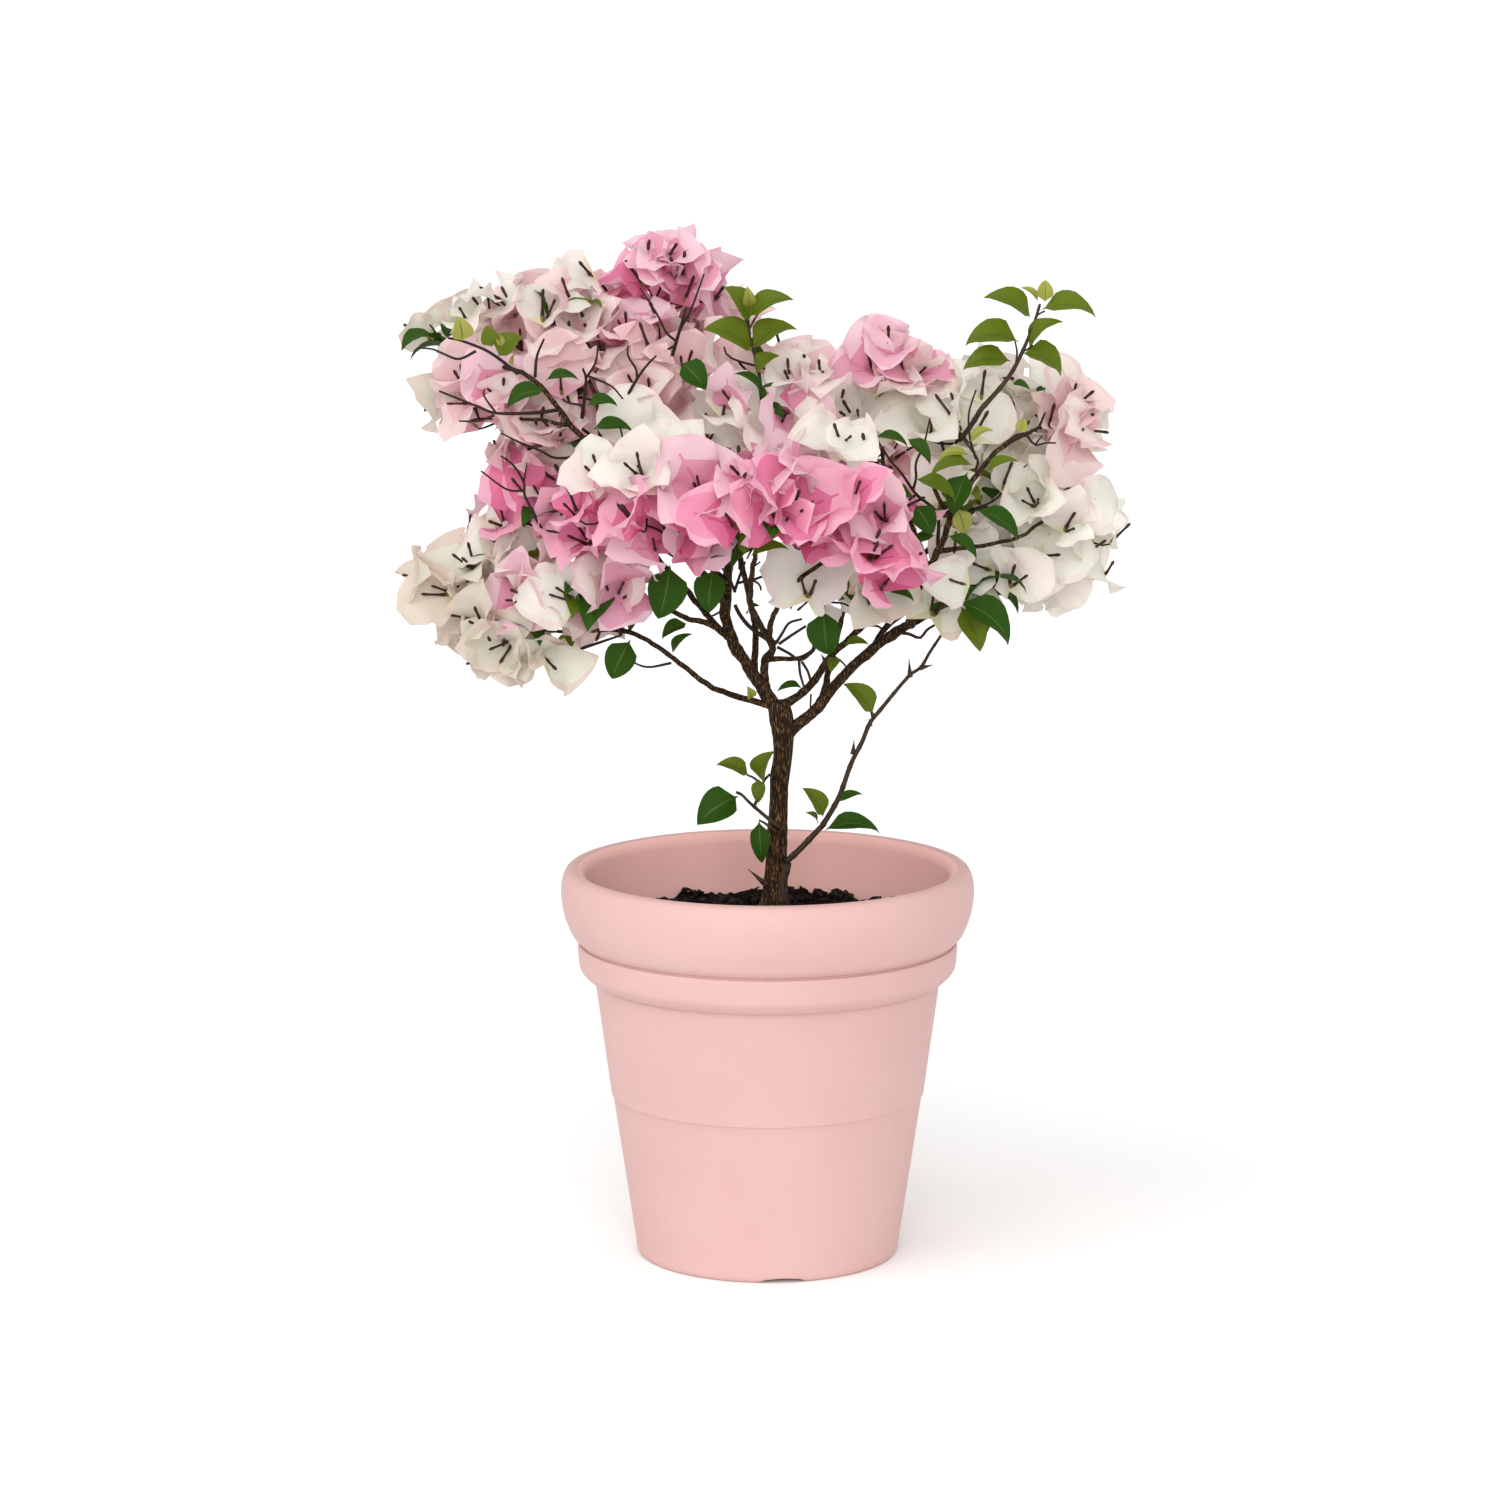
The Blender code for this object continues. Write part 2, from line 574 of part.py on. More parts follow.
def twig_mesh(name, start, end, root, tip, group):
    way = end - start
    place = Matrix.Translation((start + end) / 2) @ aim(way.normalized())
    bm = bmesh.new()
    bmesh.ops.create_cone(bm, cap_ends=True, segments=3, radius1=root, radius2=tip,
                          depth=way.length, matrix=place)
    return from_bmesh(name, bm, group)


BLADE_FACES = ((0, 1, 4), (1, 2, 4), (2, 3, 4), (3, 0, 4), (1, 0, 5), (2, 1, 5), (3, 2, 5), (0, 3, 5))


class Space:
    """The room a mass keeps to: its cell among the masses, clear of limbs and neighbours."""

    def __init__(self, name, obstacles):
        self.middle = Vector(MASSES[name][0])
        self.radius = MASSES[name][1]
        self.walls = []
        for other, (place, radius, *_) in MASSES.items():
            if other == name:
                continue
            between = Vector(place) - self.middle
            far = (between.length_squared + self.radius ** 2 - radius ** 2) / 2
            self.walls.append((between.normalized(), far / between.length))
        room = self.radius + REACH + 0.002
        self.obstacles = [tree for tree in obstacles if tree.find_nearest(self.middle, room)[0]]
        self.blades = []

    def holds(self, corners, reach=REACH, past=WALL_PAST):
        """True when every corner is inside the mass's ball and not far past its cell."""
        for corner in corners:
            out = corner - self.middle
            if out.length > self.radius + reach:
                return False
            if any(out.dot(normal) > far + past for normal, far in self.walls):
                return False
        return True

    def clear(self, corners, apart=True):
        """True when a blade or twig with these corners touches no solid outside its mass.

        Kept apart, it crosses no earlier blade of its own mass either.
        """
        root, left, tip, right = corners[:4]
        samples = [root.lerp(tip, k / 12) for k in range(13)]
        for side in (left, right):
            for end in (root, tip, (root + tip) / 2):
                samples += [side.lerp(end, k / 5) for k in range(5)]
        blade = BVHTree.FromPolygons(corners, BLADE_FACES)
        if any(other.overlap(blade) for other in self.blades if apart):
            return False
        for tree in self.obstacles:
            if tree.overlap(blade):
                return False
            for place in samples:
                if tree.find_nearest(place, CLEARANCE)[0] is not None:
                    return False
        return True

    def take(self, corners):
        self.blades.append(BVHTree.FromPolygons(corners, BLADE_FACES))


def golden_direction(k, count, turn):
    z = 1 - 2 * (k + 0.5) / count
    flat = math.sqrt(1 - z * z)
    angle = k * math.pi * (3 - math.sqrt(5)) + turn
    return Vector((flat * math.cos(angle), flat * math.sin(angle), z))


CROWN_MIDDLE = Vector((0.0, 0.0, 0.440))
TRIES = 140
SEEDS = 6


def cluster_blades(place, axis, roll):
    """Three bracts that open round the axis."""
    blades = []
    across = axis.orthogonal().normalized()
    for k in range(3):
        round_axis = Matrix.Rotation(roll + k * 2 * math.pi / 3, 3, axis)
        out = round_axis @ across
        along = (axis * math.cos(BRACT_SPREAD) + out * math.sin(BRACT_SPREAD)).normalized()
        face = (axis * math.sin(BRACT_SPREAD) - out * math.cos(BRACT_SPREAD)).normalized()
        blades.append(blade_points(place, along, face, BRACT))
    return blades


def best_blades(place, axis, roll, space):
    """The bracts that fit (None where one has no room), at the roll that fits most."""
    best, best_roll, most = [], roll, -1
    for k in range(4):
        turned_roll = roll + k * math.pi / 6
        fitting = [blade if space.holds(blade) and space.clear(blade) else None
                   for blade in cluster_blades(place, axis, turned_roll)]
        count = sum(blade is not None for blade in fitting)
        if count > most:
            best, best_roll, most = fitting, turned_roll, count
        if most == 3:
            break
    return best, best_roll, most


def twig_corners(start, end):
    """A slim blade that stands for a twig when its room is tested."""
    return blade_points(start, (end - start).normalized(),
                        (end - start).orthogonal().normalized(),
                        dict(length=(end - start).length, width=2 * TWIG_RADIUS,
                             thick=2 * TWIG_RADIUS, cup=0.0))


def nearest_node(nodes, place):
    return min(nodes, key=lambda node: (node - place).length)


def stem_way(name, route):
    """Foot of a mass's stem at its limb's tip, its first bend, and its end in the mass."""
    points, _ = route
    middle, radius = Vector(MASSES[name][0]), MASSES[name][1]
    ahead = (points[-1] - points[-2]).normalized()
    foot = points[-1] + ahead * GAP
    return foot, foot + ahead * 0.006, middle - ahead * radius * 0.15


def stem_tree(name, route):
    """The line of a mass's stem, which its neighbours keep clear of."""
    foot, knee, heart = stem_way(name, route)
    corners = twig_corners(foot, knee) + twig_corners(knee, heart)
    faces = BLADE_FACES + tuple(tuple(c + 6 for c in face) for face in BLADE_FACES)
    return BVHTree.FromPolygons(corners, faces)


def plan_mass(name, route, space, seed):
    """Twigs, bract clusters and leaves that one seed finds room for in a mass."""
    _, radius, wanted, leafy, _ = MASSES[name]
    rng = random.Random(seed)
    space.blades = []
    _, knee, heart = stem_way(name, route)
    nodes = [knee, knee.lerp(heart, 0.5), heart]
    plan = dict(twigs=[], clusters=[], leaves=[], bracts=0)
    turn = rng.uniform(0, 2 * math.pi)
    outward = (space.middle - CROWN_MIDDLE).normalized()
    for k in range(3 * TRIES):
        if len(plan["clusters"]) == wanted:
            break
        way = golden_direction((k * 51) % TRIES, TRIES, turn)
        if way.dot(outward) < -0.45:
            continue
        axis = (way + outward * 0.35 + Vector((0.0, 0.0, 0.15))).normalized()
        place = space.middle + way * radius * rng.uniform(0.20, 0.55)
        if any((place - cluster[0]).length < SPACING for cluster in plan["clusters"]):
            continue
        if not space.holds([place], past=-0.002):
            continue
        node = nearest_node(nodes, place - axis * 0.004)
        twig = twig_corners(node, place)
        if (place - node).length < 0.004 or not space.clear(twig, apart=False):
            continue
        blades, roll, count = best_blades(place, axis, rng.uniform(0, 2), space)
        if count < 3 - k // TRIES:
            continue
        plan["twigs"].append((node, place))
        plan["clusters"].append((place, axis, roll, blades))
        plan["bracts"] += count
        nodes.append(node.lerp(place, 0.6))
        for blade in blades:
            if blade:
                space.take(blade)
        for leaf in range(math.floor(leafy + rng.random())):
            blade = leaf_blade(node, place, outward, rng, space)
            if blade:
                plan["leaves"].append(blade)
                space.take(blade)
    if name in LEADERS:
        grow_leader(name, heart, space, plan)
    return plan


def grow_mass(name, route, obstacles, group, mat, number):
    """One mass: the fullest of its seeds' plans, joined to one solid."""
    space = Space(name, obstacles)
    plans = [plan_mass(name, route, space, 1000 * seed + number) for seed in range(SEEDS)]
    plan = max(plans, key=lambda tried: tried["bracts"])
    parts = bpy.data.collections.new("parts_" + name)
    bpy.context.scene.collection.children.link(parts)
    foot, knee, heart = stem_way(name, route)
    ahead = (knee - foot).normalized()
    tip = route[1][-1]
    base = twig_mesh("blossom_" + name, foot, knee + ahead * 0.001, tip, tip * 0.9, group)
    twig_mesh("stem", knee - ahead * 0.001, heart, tip * 0.95, TWIG_RADIUS, parts)
    for start, end in plan["twigs"]:
        twig_mesh("twig", start, end, TWIG_RADIUS, TWIG_RADIUS, parts)
    for cluster in plan["clusters"]:
        corolla_mesh("bracts", *cluster, parts)
    for blade in plan["leaves"]:
        blade_mesh("leaf", blade, parts)
    dropped = join_parts(base, parts, mat)
    return base, plan, dropped


def join_parts(base, parts, mat):
    """Fuses a collection onto its stem, and clears the collection away."""
    boolean(base, "UNION", group=parts, solver="MANIFOLD")
    dropped = keep_largest(base)
    base.data.materials.clear()
    base.data.materials.append(mat)
    for item in list(parts.objects):
        bpy.data.objects.remove(item)
    bpy.data.collections.remove(parts)
    return dropped


def leaf_blade(node, place, outward, rng, space):
    """A green leaf from half way along a twig, if its space allows."""
    start = node.lerp(place, 0.5)
    twig = (place - node).normalized()
    for _ in range(8):
        out = Vector((rng.uniform(-1, 1), rng.uniform(-1, 1), rng.uniform(-1, 0.4)))
        along = (out.cross(twig).normalized() + outward * 0.5 + twig * 0.3).normalized()
        face = (Vector((0, 0, 1)) - along * along.z).normalized()
        blade = blade_points(start - along * ROOT_SUNK, along, face, LEAF)
        if space.holds(blade) and space.clear(blade):
            return blade
    return None


def grow_leader(name, heart, space, plan):
    """A leafy shoot that rises out of its mass, leaves turned a third round each time."""
    foot, tip, count, length = LEADERS[name]
    foot, tip = Vector(foot), Vector(tip)
    plan["twigs"] += [(heart, foot), (foot - (foot - heart).normalized() * 0.001, tip)]
    rise = (tip - foot).normalized()
    for k in range(count):
        share = 0.10 + 0.85 * k / (count - 1)
        angle = 0.3 + k * math.pi + 0.35 * math.sin(2.1 * k)
        out = Vector((math.cos(angle), 0.5 * math.sin(angle), 0.0)).normalized()
        along = (out + rise * (0.15 + 0.3 * share)).normalized()
        scale = 1.0 - 0.3 * share
        size = dict(LEAF, length=length * scale, width=length * 0.55 * scale)
        up = Vector((0.0, -0.9, 0.6))
        face = (up - along * up.dot(along)).normalized()
        blade = blade_points(foot.lerp(tip, share) - along * ROOT_SUNK, along, face, size)
        if space.clear(blade):
            plan["leaves"].append(blade)
            space.take(blade)
    top = dict(LEAF, length=0.016, width=0.007)
    plan["leaves"].append(blade_points(tip - rise * 0.003, rise, Vector((0, -1, 0)), top))


def along_route(points, share):
    at = share * (len(points) - 1)
    k = min(int(at), len(points) - 2)
    return points[k].lerp(points[k + 1], at - k), (points[k + 1] - points[k]).normalized()


def make_shoot(name, routes, clearance, group, mat):
    """A thin shoot from low on the trunk, with its leaves and thorns."""
    height, ways, root, tip = SHOOTS[name]
    start = at_height(routes["trunk"], height)
    points = smooth_way((tuple(start),) + ways, 5 + len(ways))
    last = len(points) - 1
    radii = [root + (tip - root) * k / last for k in range(last + 1)]
    shoot = tube(name, points, radii, group, mat)
    boolean(shoot, "DIFFERENCE", clearance)
    keep_largest(shoot)
    parts = bpy.data.collections.new("parts_" + name)
    bpy.context.scene.collection.children.link(parts)
    for share, turn, near, length in SHOOT_LEAVES[name]:
        place, _ = along_route(points, share)
        angle = math.radians(turn)
        along = Vector((math.cos(angle), -near, math.sin(angle))).normalized()
        size = dict(LEAF, length=length, width=length * 0.62)
        face = (Vector((0, -0.6, 1)) - along * Vector((0, -0.6, 1)).dot(along)).normalized()
        blade_mesh("leaf", blade_points(place - along * ROOT_SUNK, along, face, size), parts)
    if name == "right_shoot":
        for k, share in enumerate(THORN_SHARES):
            place, way = along_route(points, share)
            out = way.cross(Vector((0, 1, 0))).normalized() * (1 if k % 2 else -1)
            point = (out + way * 0.4).normalized()
            twig_mesh("thorn", place - point * 0.0004, place + point * THORN_LENGTH,
                      0.0009, 0.0003, parts)
    join_parts(shoot, parts, mat)
    return shoot


def main():
    clear_scene()
    group = new_collection("bougainvillea")
    cutters = new_collection("cutters")
    mats = {name: material(name, colour) for name, colour in COLOURS.items()}
    make_pot(group, cutters, mats["pot"])
    make_soil(group, mats["soil"])
    routes, solids, clearances = make_limbs(group, cutters, mats["bark"])
    for obj in group.objects:
        print(f"{obj.name}: {sum(len(p.vertices) - 2 for p in obj.data.polygons)} triangles")
    shoots = [make_shoot(name, routes, clearances["trunk"], group, mats["bark"])
              for name in SHOOTS]
    stems = {name: stem_tree(name, routes[name]) for name in MASSES}
    order = sorted(MASSES, key=lambda name: name not in LEADERS)
    grown = {}
    for number, name in enumerate(order):
        others = [tree_of(solid) for solid in (*solids.values(), *shoots, *grown.values())]
        others += [tree for other, tree in stems.items() if other != name]
        mass, plan, dropped = grow_mass(name, routes[name], others, group,
                                        mats[MASSES[name][4]], number)
        grown[name] = mass
        print(f"{mass.name}: {len(plan['clusters'])} clusters, {plan['bracts']} bracts, "
              f"{len(mass.data.polygons)} faces, {dropped} scraps dropped")


main()
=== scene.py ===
# Bougainvillea in a pink plastic pot: finishes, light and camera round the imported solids.
# Metres, +Z up, origin under the middle of the pot, the crown's broad side faces -Y.
import json
import math
import random

import bmesh
import bpy
from mathutils import Euler, Matrix, Vector, kdtree, noise

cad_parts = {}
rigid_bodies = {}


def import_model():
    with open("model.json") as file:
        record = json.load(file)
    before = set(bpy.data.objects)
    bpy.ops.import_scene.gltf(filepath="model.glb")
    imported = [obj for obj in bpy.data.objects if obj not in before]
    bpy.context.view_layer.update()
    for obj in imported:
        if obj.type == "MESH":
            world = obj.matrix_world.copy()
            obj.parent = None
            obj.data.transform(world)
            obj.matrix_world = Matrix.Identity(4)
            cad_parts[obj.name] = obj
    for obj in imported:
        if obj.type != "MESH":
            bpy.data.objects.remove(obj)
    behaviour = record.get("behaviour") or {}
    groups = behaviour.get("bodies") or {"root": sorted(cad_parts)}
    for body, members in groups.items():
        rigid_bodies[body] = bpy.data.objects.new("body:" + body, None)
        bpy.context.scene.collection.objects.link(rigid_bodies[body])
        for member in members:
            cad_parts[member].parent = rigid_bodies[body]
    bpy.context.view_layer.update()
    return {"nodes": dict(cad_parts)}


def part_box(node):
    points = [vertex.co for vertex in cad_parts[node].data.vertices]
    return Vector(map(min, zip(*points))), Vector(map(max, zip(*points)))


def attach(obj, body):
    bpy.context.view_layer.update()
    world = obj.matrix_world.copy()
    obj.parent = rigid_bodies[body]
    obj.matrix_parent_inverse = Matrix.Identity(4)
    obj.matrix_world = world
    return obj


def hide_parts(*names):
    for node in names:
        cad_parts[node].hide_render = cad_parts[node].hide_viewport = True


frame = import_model()
body = "root"
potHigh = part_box("pot")[1]
trunkLow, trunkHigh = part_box("trunk")
gap = 0.0003  # air between the soil and the pot
print("frame loaded:", len(frame["nodes"]), "nodes")


camera = {
    "place": (-0.007, -3.0755, 0.8606),
    "down": 10.216,  # degrees below the horizon
    "lens": 123.455,
    "sensor": 36.0,
    "side": 1512.0,  # pixels along a side of its square view
    "offset": 2.0,  # pixels by which every place below moves right and down
}
focal = camera["lens"] / camera["sensor"] * camera["side"]
tilt = math.radians(camera["down"])


def makeCamera():
    data = bpy.data.cameras.new("camera")
    data.lens = camera["lens"]
    data.sensor_width = camera["sensor"]
    obj = bpy.data.objects.new("camera", data)
    obj.location = camera["place"]
    obj.rotation_euler = (math.pi / 2 - tilt, 0.0, 0.0)
    bpy.context.scene.collection.objects.link(obj)
    bpy.context.scene.camera = obj


def sightLine(px, py):
    # direction from the camera through a pixel of its view
    across = (px - camera["side"] / 2) / focal
    rise = (camera["side"] / 2 - py) / focal
    way = Vector((across, math.cos(tilt) + rise * math.sin(tilt),
                  -math.sin(tilt) + rise * math.cos(tilt)))
    return way.normalized()


def inDepth(px, py, depth):
    # the place that shows at a pixel, at a given Y
    start, way = Vector(camera["place"]), sightLine(px + camera["offset"], py + camera["offset"])
    return start + way * ((depth - start.y) / way.y)


def pixelOf(place):
    # where the camera sees a place, and how far off it is
    offset = place - Vector(camera["place"])
    far = offset.y * math.cos(tilt) - offset.z * math.sin(tilt)
    rise = offset.y * math.sin(tilt) + offset.z * math.cos(tilt)
    scale, half = focal / far, camera["side"] / 2
    return Vector((half + offset.x * scale, half - rise * scale, 0)), far


def paint(code):
    # "#rrggbb" to linear light
    values = [int(code[k:k + 2], 16) / 255 for k in (1, 3, 5)]
    return tuple(v / 12.92 if v <= 0.04045 else ((v + 0.055) / 1.055) ** 2.4 for v in values) + (1.0,)


def addObject(name, mesh):
    obj = bpy.data.objects.new(name, mesh)
    bpy.context.scene.collection.objects.link(obj)
    return obj


def settle(obj, slot, *nodes):
    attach(obj, body)
    if nodes:
        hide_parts(*nodes)
    return obj


def smooth(mesh):
    for face in mesh.polygons:
        face.use_smooth = True


def meshFrom(name, verts, faces, part=None):
    # a smooth mesh; part says for each face which finish it gets
    mesh = bpy.data.meshes.new(name)
    mesh.from_pydata(verts, [], faces)
    if part:
        mesh.attributes.new("part", "INT", "FACE").data.foreach_set("value", part)
    smooth(mesh)
    return mesh


def smoothWay(places, count):
    # even steps along a smooth curve through the given places
    ways = [Vector(p) for p in places]
    ways = [2 * ways[0] - ways[1]] + ways + [2 * ways[-1] - ways[-2]]
    fine = []
    for a, b, c, d in zip(ways, ways[1:], ways[2:], ways[3:]):
        for k in range(12):
            t = k / 12
            fine.append(0.5 * (2 * b + (c - a) * t + (2 * a - 5 * b + 4 * c - d) * t ** 2
                               + (3 * b - a - 3 * c + d) * t ** 3))
    fine.append(ways[-2])
    run = [0.0]
    for a, b in zip(fine, fine[1:]):
        run.append(run[-1] + (b - a).length)
    points, k = [], 0
    for step in range(count):
        at = run[-1] * step / (count - 1)
        while k < len(run) - 2 and run[k + 1] < at:
            k += 1
        span = max(run[k + 1] - run[k], 1e-9)
        points.append(fine[k].lerp(fine[k + 1], min(1.0, (at - run[k]) / span)))
    return points


def wayLength(points):
    return sum((b - a).length for a, b in zip(points, points[1:]))


def between(value, xs, ys):
    # straight-line interpolation in a short table
    if value <= xs[0]:
        return ys[0]
    for x0, x1, y0, y1 in zip(xs, xs[1:], ys, ys[1:]):
        if value <= x1:
            return y0 + (y1 - y0) * (value - x0) / (x1 - x0)
    return ys[-1]


def tubeFaces(first, rings, sides):
    # the faces of a closed tube whose points are a pole, rings and a pole
    faces, last = [], first + 1 + rings * sides
    for k in range(sides):
        after = (k + 1) % sides
        faces.append((first, first + 1 + after, first + 1 + k))
        for low in range(first + 1, last - sides, sides):
            faces.append((low + k, low + after, low + sides + after, low + sides + k))
        faces.append((last - sides + k, last - sides + after, last))
    return faces


def lathe(name, profile, sides, shift=None):
    # a profile of (radius, height) turned round Z; it starts and ends on the axis
    verts = [(0.0, 0.0, profile[0][1])]
    rings = profile[1:-1]
    for radius, height in rings:
        for k in range(sides):
            angle = 2 * math.pi * k / sides
            place = Vector((radius * math.cos(angle), radius * math.sin(angle), height))
            verts.append(shift(place) if shift else place)
    verts.append((0.0, 0.0, profile[-1][1]))
    mesh = meshFrom(name, verts, tubeFaces(0, len(rings), sides))
    bm = bmesh.new()
    bm.from_mesh(mesh)
    bmesh.ops.recalc_face_normals(bm, faces=bm.faces)
    bm.to_mesh(mesh)
    bm.free()
    return mesh


def addNodes(tree, **kinds):
    # one node of each kind, by name; a kind's settings follow it
    made = {}
    for name, (kind, settings) in kinds.items():
        made[name] = tree.nodes.new(kind)
        for label, value in settings.items():
            if label in made[name].inputs:
                made[name].inputs[label].default_value = value
            else:
                setattr(made[name], label, value)
    return made


def wire(tree, made, *wires):
    # each wire reads "node socket > node socket"; a socket goes by its name or its number
    for line in wires:
        (giver, out), (taker, into) = (end.split(" ", 1) for end in line.split(" > "))
        tree.links.new(made[giver].outputs[int(out) if out.isdigit() else out],
                       made[taker].inputs[int(into) if into.isdigit() else into])


def addSockets(tree, direction, kind, *names):
    # Geometry Nodes and shader groups get their named sockets here
    return [tree.interface.new_socket(name, in_out=direction, socket_type="NodeSocket" + kind)
            for name in names]


def speckleGroup():
    # two colours dealt out by noise, with a height for a Bump node
    group = bpy.data.node_groups.new("speckle", "ShaderNodeTree")
    for name, value in (("Scale", 100.0), ("Middle", 0.5), ("Sharpness", 0.3), ("Stretch", 1.0)):
        addSockets(group, "INPUT", "Float", name)[0].default_value = value
    for name, value in (("Light", (1, 1, 1, 1)), ("Dark", (0, 0, 0, 1))):
        addSockets(group, "INPUT", "Color", name)[0].default_value = value
    addSockets(group, "OUTPUT", "Color", "Color")
    addSockets(group, "OUTPUT", "Float", "Mask", "Height")
    made = addNodes(group, enter=("NodeGroupInput", {}), leave=("NodeGroupOutput", {}),
                    coords=("ShaderNodeTexCoord", {}),
                    squeeze=("ShaderNodeVectorMath", {"operation": "MULTIPLY"}),
                    axes=("ShaderNodeCombineXYZ", {"X": 1.0, "Y": 1.0}),
                    grain=("ShaderNodeTexNoise", {"Detail": 6.0, "Roughness": 0.62}),
                    low=("ShaderNodeMath", {"operation": "SUBTRACT"}),
                    high=("ShaderNodeMath", {"operation": "ADD"}),
                    spread=("ShaderNodeMapRange", {"interpolation_type": "SMOOTHSTEP"}),
                    mix=("ShaderNodeMix", {"data_type": "RGBA"}))
    wire(group, made, "enter Stretch > axes Z", "coords Object > squeeze 0", "axes Vector > squeeze 1",
         "squeeze Vector > grain Vector", "enter Scale > grain Scale",
         "enter Middle > low 0", "enter Sharpness > low 1",
         "enter Middle > high 0", "enter Sharpness > high 1",
         "grain Fac > spread Value", "low 0 > spread From Min", "high 0 > spread From Max",
         "spread Result > mix Factor", "enter Dark > mix A", "enter Light > mix B",
         "mix Result > leave Color", "spread Result > leave Mask", "grain Fac > leave Height")
    return group


speckle = speckleGroup()


def plainMaterial(name, look):
    # one plain colour with the shader's own values
    mat = bpy.data.materials.new(name)
    mat.use_nodes = True
    shader = mat.node_tree.nodes["Principled BSDF"]
    shader.inputs["Base Color"].default_value = paint(look["colour"])
    shader.inputs["Roughness"].default_value = look["roughness"]
    shader.inputs["Specular IOR Level"].default_value = look.get("shine", 0.5)
    shader.inputs["Sheen Weight"].default_value = look.get("sheen", 0.0)
    return mat


def thinMaterial(name, look):
    # a plain colour that lets some light through, for leaves and bracts
    mat = plainMaterial(name, look)
    tree = mat.node_tree
    glow = paint(look.get("glow", look["colour"]))
    made = addNodes(tree, through=("ShaderNodeBsdfTranslucent", {"Color": glow}),
                    mix=("ShaderNodeMixShader", {"Fac": look["thin"]}))
    made.update(shader=tree.nodes["Principled BSDF"], output=tree.nodes["Material Output"])
    wire(tree, made, "shader BSDF > mix 1", "through BSDF > mix 2", "mix Shader > output Surface")
    return mat


def speckledMaterial(name, look):
    # two layers of the speckle group: broad colour drift, and fine grain for relief
    mat = plainMaterial(name, look)
    tree, swing = mat.node_tree, 0.05  # of the roughness, either way
    made = addNodes(tree, drift=("ShaderNodeGroup", {"node_tree": speckle}),
                    grain=("ShaderNodeGroup", {"node_tree": speckle}),
                    bump=("ShaderNodeBump", {"Strength": look["grainStrength"],
                                             "Distance": look["grainDepth"]}),
                    rough=("ShaderNodeMapRange", {"To Min": look["roughness"] - swing,
                                                  "To Max": look["roughness"] + swing}))
    made["shader"] = tree.nodes["Principled BSDF"]
    for layer, values in (("drift", {"Scale": look["scale"], "Middle": look.get("middle", 0.5),
                                     "Sharpness": look["sharpness"], "Stretch": look["stretch"],
                                     "Light": paint(look["light"]), "Dark": paint(look["dark"])}),
                          ("grain", {"Scale": look["grainScale"], "Sharpness": 0.2,
                                     "Stretch": look["stretch"]})):
        for label, value in values.items():
            made[layer].inputs[label].default_value = value
    wire(tree, made, "drift Color > shader Base Color", "grain Height > bump Height",
         "bump Normal > shader Normal", "drift Mask > rough Value", "rough Result > shader Roughness")
    return mat


pot = {
    "sides": 240,
    "crest": 0.1177,  # radius of the rim's highest circle
    "wall": 0.003,
    "stepHeight": 0.0996,
    "rimDepth": 0.008,  # from the crest down to where the inner wall starts
    # radius and depth below the crest, down the outside of the rim
    "rim": ((0.1214, 0.0012), (0.1240, 0.0062), (potHigh.x, 0.0140), (0.1243, 0.0222), (0.1224, 0.0305),
            (0.1186, 0.0395)),
    # radius and height, down the tuck under the rim, its groove, the band and the band's groove
    "tuck": ((0.1152, 0.1955), (0.1140, 0.1944)),
    "groove": ((0.1130, 0.1941), (0.1128, 0.1936), (0.1131, 0.1931)),
    "band": ((0.1145, 0.1929), (0.1149, 0.1919), (0.1150, 0.1890), (0.1143, 0.1800), (0.1130, 0.1765),
             (0.1088, 0.1722), (0.1066, 0.1710)),
    "lowGroove": ((0.1051, 0.1707), (0.1049, 0.1702), (0.1051, 0.1697)),
    "footEdge": 0.0060,
    "footRadius": 0.0772,
    "footRing": 0.0070,
    "floorTop": 0.0078,
    "floorBottom": 0.0040,
    "bossRadius": 0.012,
    "notchWidth": 0.027,
    "notchHeight": 0.003,
    "notchTurn": math.radians(-83.3),
    "drainRadius": 0.0045,
    "drainCircle": 0.045,
    "sharp": 50,  # degrees between faces past which an edge stays sharp
    "paintedLightSlope": 0.35,  # how far a face turns to the middle before it gets the inside's finish
    # the inside's colours are painted light: the same plastic painted lighter on the inner wall, in place
    # of the light that the rim and crown keep off it
    "inside": {"colour": "#EDB9B3", "light": "#EFBDB6", "dark": "#EAB4AE"},
    "plastic": {"colour": "#CFA8A4", "light": "#D1ACA7", "dark": "#CCA39F", "scale": 9.0,
                "sharpness": 0.28, "stretch": 1.0, "grainScale": 900.0, "grainStrength": 0.12,
                "grainDepth": 0.0004, "roughness": 0.56, "shine": 0.35},
}


def bodyRadius(height):
    # outside of the tapered body, with its shallow step
    if height < pot["stepHeight"]:
        return 0.0859 + 0.150 * (height - 0.0441)
    return 0.0957 + 0.137 * (height - 0.1045)


def rounded(points, count):
    # a smooth line of radius and height through the given ones
    return [(p.x, p.z) for p in smoothWay([(radius, 0, z) for radius, z in points], count)]


